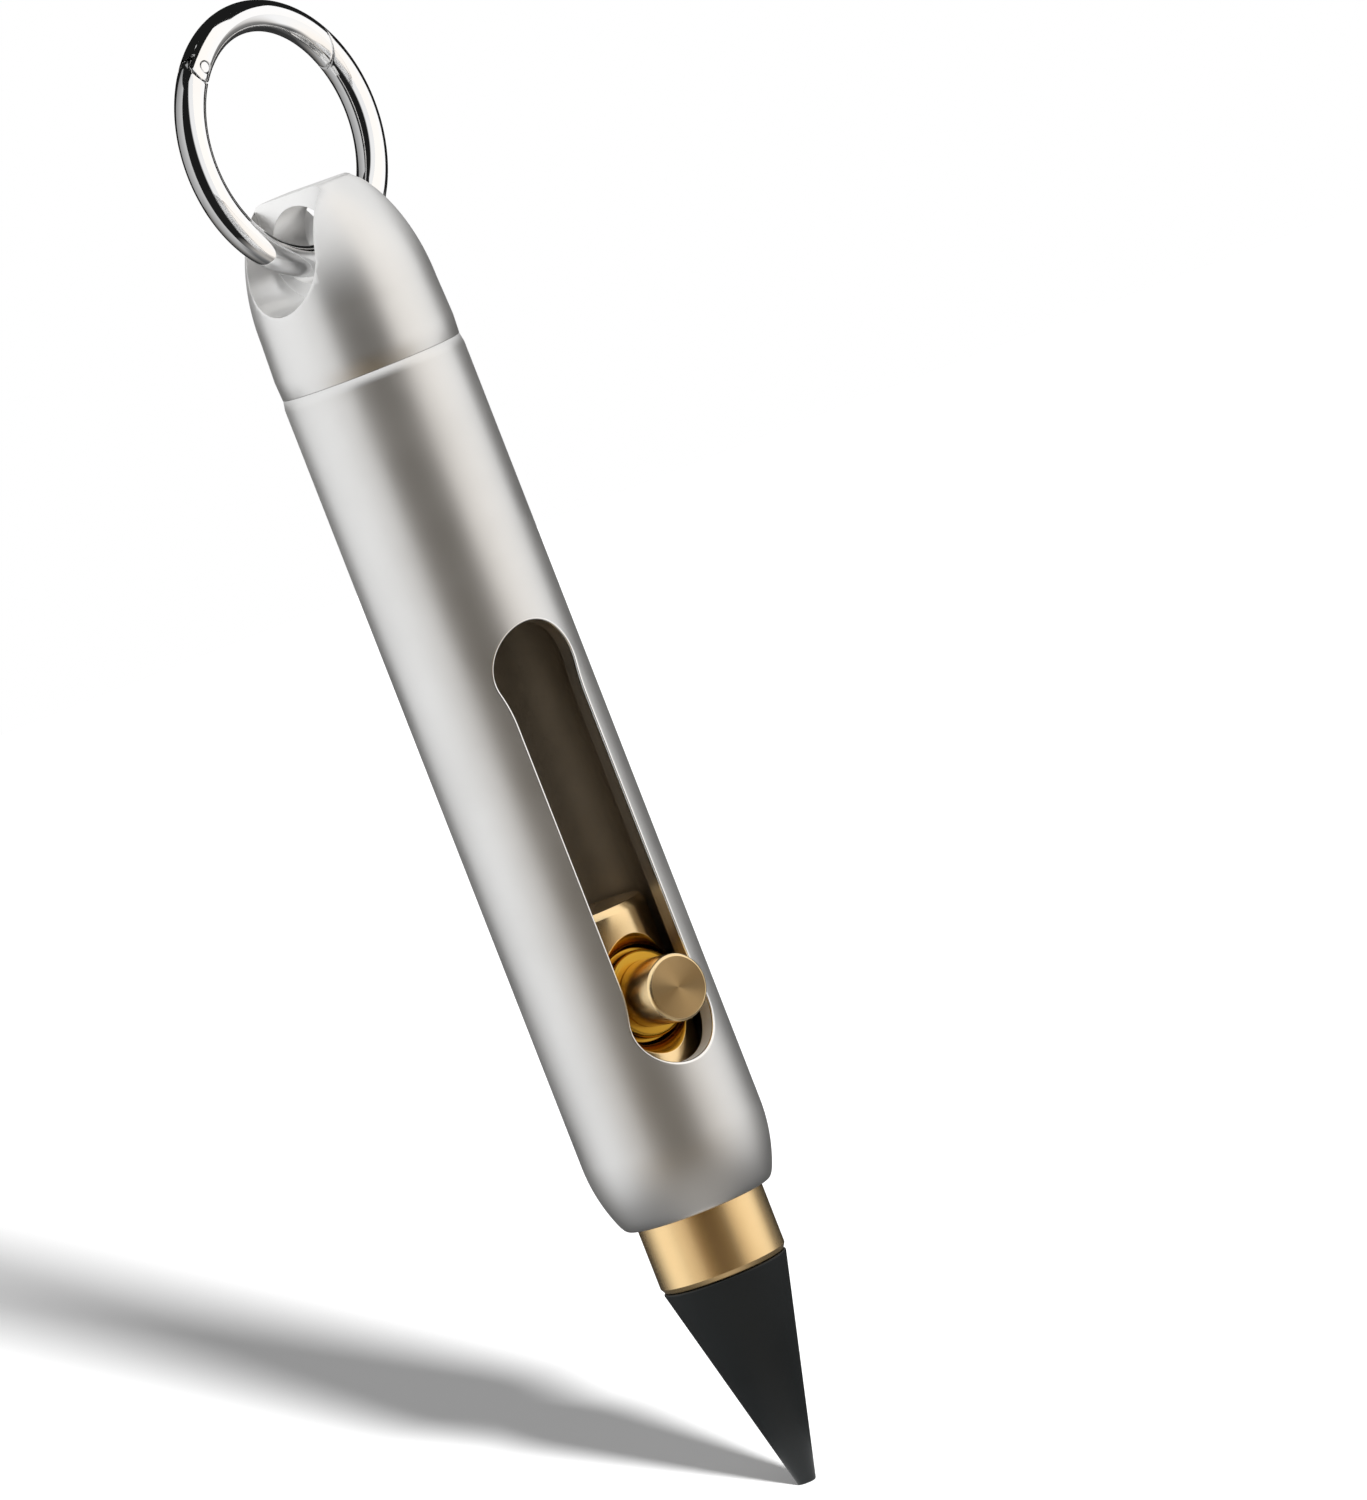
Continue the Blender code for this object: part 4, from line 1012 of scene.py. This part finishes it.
def makeSurround(look):
    world = bpy.data.worlds.new("surround")
    bpy.context.scene.world = world
    world.use_nodes = True
    tree = world.node_tree
    tree.nodes.clear()
    path = addNode(tree, "ShaderNodeLightPath")
    seen = path.outputs["Is Camera Ray"]
    for label in ("Is Glossy Ray", "Is Transmission Ray"):
        either = addNode(tree, "ShaderNodeMath", operation="MAXIMUM")
        tree.links.new(seen, either.inputs[0])
        tree.links.new(path.outputs[label], either.inputs[1])
        seen = either.outputs[0]
    soft = addNode(tree, "ShaderNodeBackground")
    soft.inputs["Strength"].default_value = look["surroundLight"]
    white = addNode(tree, "ShaderNodeBackground")
    for background in (soft, white):
        background.inputs["Color"].default_value = (1, 1, 1, 1)
    mix = addNode(tree, "ShaderNodeMixShader")
    tree.links.new(seen, mix.inputs["Fac"])
    tree.links.new(soft.outputs["Background"], mix.inputs[1])
    tree.links.new(white.outputs["Background"], mix.inputs[2])
    output = addNode(tree, "ShaderNodeOutputWorld")
    tree.links.new(mix.outputs["Shader"], output.inputs["Surface"])


def placeLight(data, lamp):
    light = bpy.data.objects.new(data.name, data)
    bpy.context.scene.collection.objects.link(light)
    rise = math.radians(lamp["rise"])
    away = turnedFrom(lamp["turn"]) * math.cos(rise) + Vector((0, 0, math.sin(rise)))
    light.rotation_mode = "QUATERNION"
    light.rotation_quaternion = away.to_track_quat("Z", "Y")
    return light, away


def makeLamp(lamp, aim):
    data = bpy.data.lights.new(lamp["name"], "AREA")
    data.shape = "RECTANGLE"
    data.size, data.size_y = lamp["size"]
    data.energy = lamp["power"]
    data.color = lamp["colour"]
    light, away = placeLight(data, lamp)
    light.location = aim + away * lamp["distance"]
    light.visible_camera = False


def shadeAt(stops, turn, warmTint):
    # colour of a cloth at a turn round the pencil
    grey, warmth = stops[-1][1:]
    for (start, *low), (end, *high) in zip(stops, stops[1:]):
        if start <= turn <= end:
            grey, warmth = Vector(low).lerp(Vector(high), (turn - start) / (end - start))
            break
    return [grey * (1 + (tint - 1) * warmth) for tint in warmTint]


def makeViewers():
    # the bright ring and the rest of the pencil are lit apart
    viewers = {name: bpy.data.collections.new(name) for name in ("ring", "rest")}
    for piece in list(bpy.context.scene.objects):
        if piece.type == "MESH":
            ofRing = piece.name in ("ringBody", "ringGate", "gatePin")
            viewers["ring" if ofRing else "rest"].objects.link(piece)
    return viewers


def makeCloth(cloth, look, viewers):
    # a graded cloth bent round the pencil, which the metal shows but the camera doesn't
    shape = bmesh.new()
    shades = shape.verts.layers.float_color.new("shade")
    count = round((cloth["to"] - cloth["from"]) / look["clothStep"])
    strips = []
    for radius, height, stopsName in cloth["rows"]:
        strip = []
        for i in range(count + 1):
            turn = cloth["from"] + (cloth["to"] - cloth["from"]) * i / count
            place = turnedFrom(turn) * radius + Vector((0, 0, height))
            vert = shape.verts.new(place / mm)
            vert[shades] = shadeAt(look["stops"][stopsName], turn, look["warmTint"]) + [1]
            strip.append(vert)
        strips.append(strip)
    for first, second in zip(strips, strips[1:]):
        joinRings(shape, first, second)
    piece = storeMesh(cloth["name"], shape, Matrix())
    material = bpy.data.materials.new(cloth["name"])
    material.use_nodes = True
    material.cycles.emission_sampling = "NONE"
    tree = material.node_tree
    tree.nodes.clear()
    shade = addNode(tree, "ShaderNodeAttribute", attribute_name="shade")
    glow = addNode(tree, "ShaderNodeEmission")
    tree.links.new(shade.outputs["Color"], glow.inputs["Color"])
    surface = glow.outputs["Emission"]
    if "seenBy" in cloth:
        # a veil lets through what is behind it
        both = addNode(tree, "ShaderNodeAddShader")
        tree.links.new(surface, both.inputs[0])
        tree.links.new(addNode(tree, "ShaderNodeBsdfTransparent").outputs["BSDF"], both.inputs[1])
        surface = both.outputs["Shader"]
        piece.light_linking.receiver_collection = viewers[cloth["seenBy"]]
    tree.links.new(surface, addNode(tree, "ShaderNodeOutputMaterial").inputs["Surface"])
    piece.data.materials.append(material)
    piece.visible_camera = False
    piece.visible_diffuse = False
    piece.visible_shadow = False


def makeShadowLamp(lamp, floor):
    # a low sun behind the camera that lights the floor alone, for the long shadow
    data = bpy.data.lights.new("shadowLamp", "SUN")
    data.energy = lamp["strength"]
    data.angle = math.radians(lamp["angle"])
    light = placeLight(data, lamp)[0]
    lit = bpy.data.collections.new("floorOnly")
    lit.objects.link(floor)
    light.light_linking.receiver_collection = lit


viewers = makeViewers()
studioFloor = makeFloor(studioLook)
makeSurround(studioLook)
middle = Vector((0, 0, cameraLook["axisHeight"] * mm))
for lamp in studioLook["lamps"]:
    makeLamp(lamp, middle)
for cloth in studioLook["cloths"]:
    makeCloth(cloth, studioLook, viewers)
makeShadowLamp(studioLook["shadowLamp"], studioFloor)
bpy.context.scene.view_settings.view_transform = "Standard"
print("studio set")
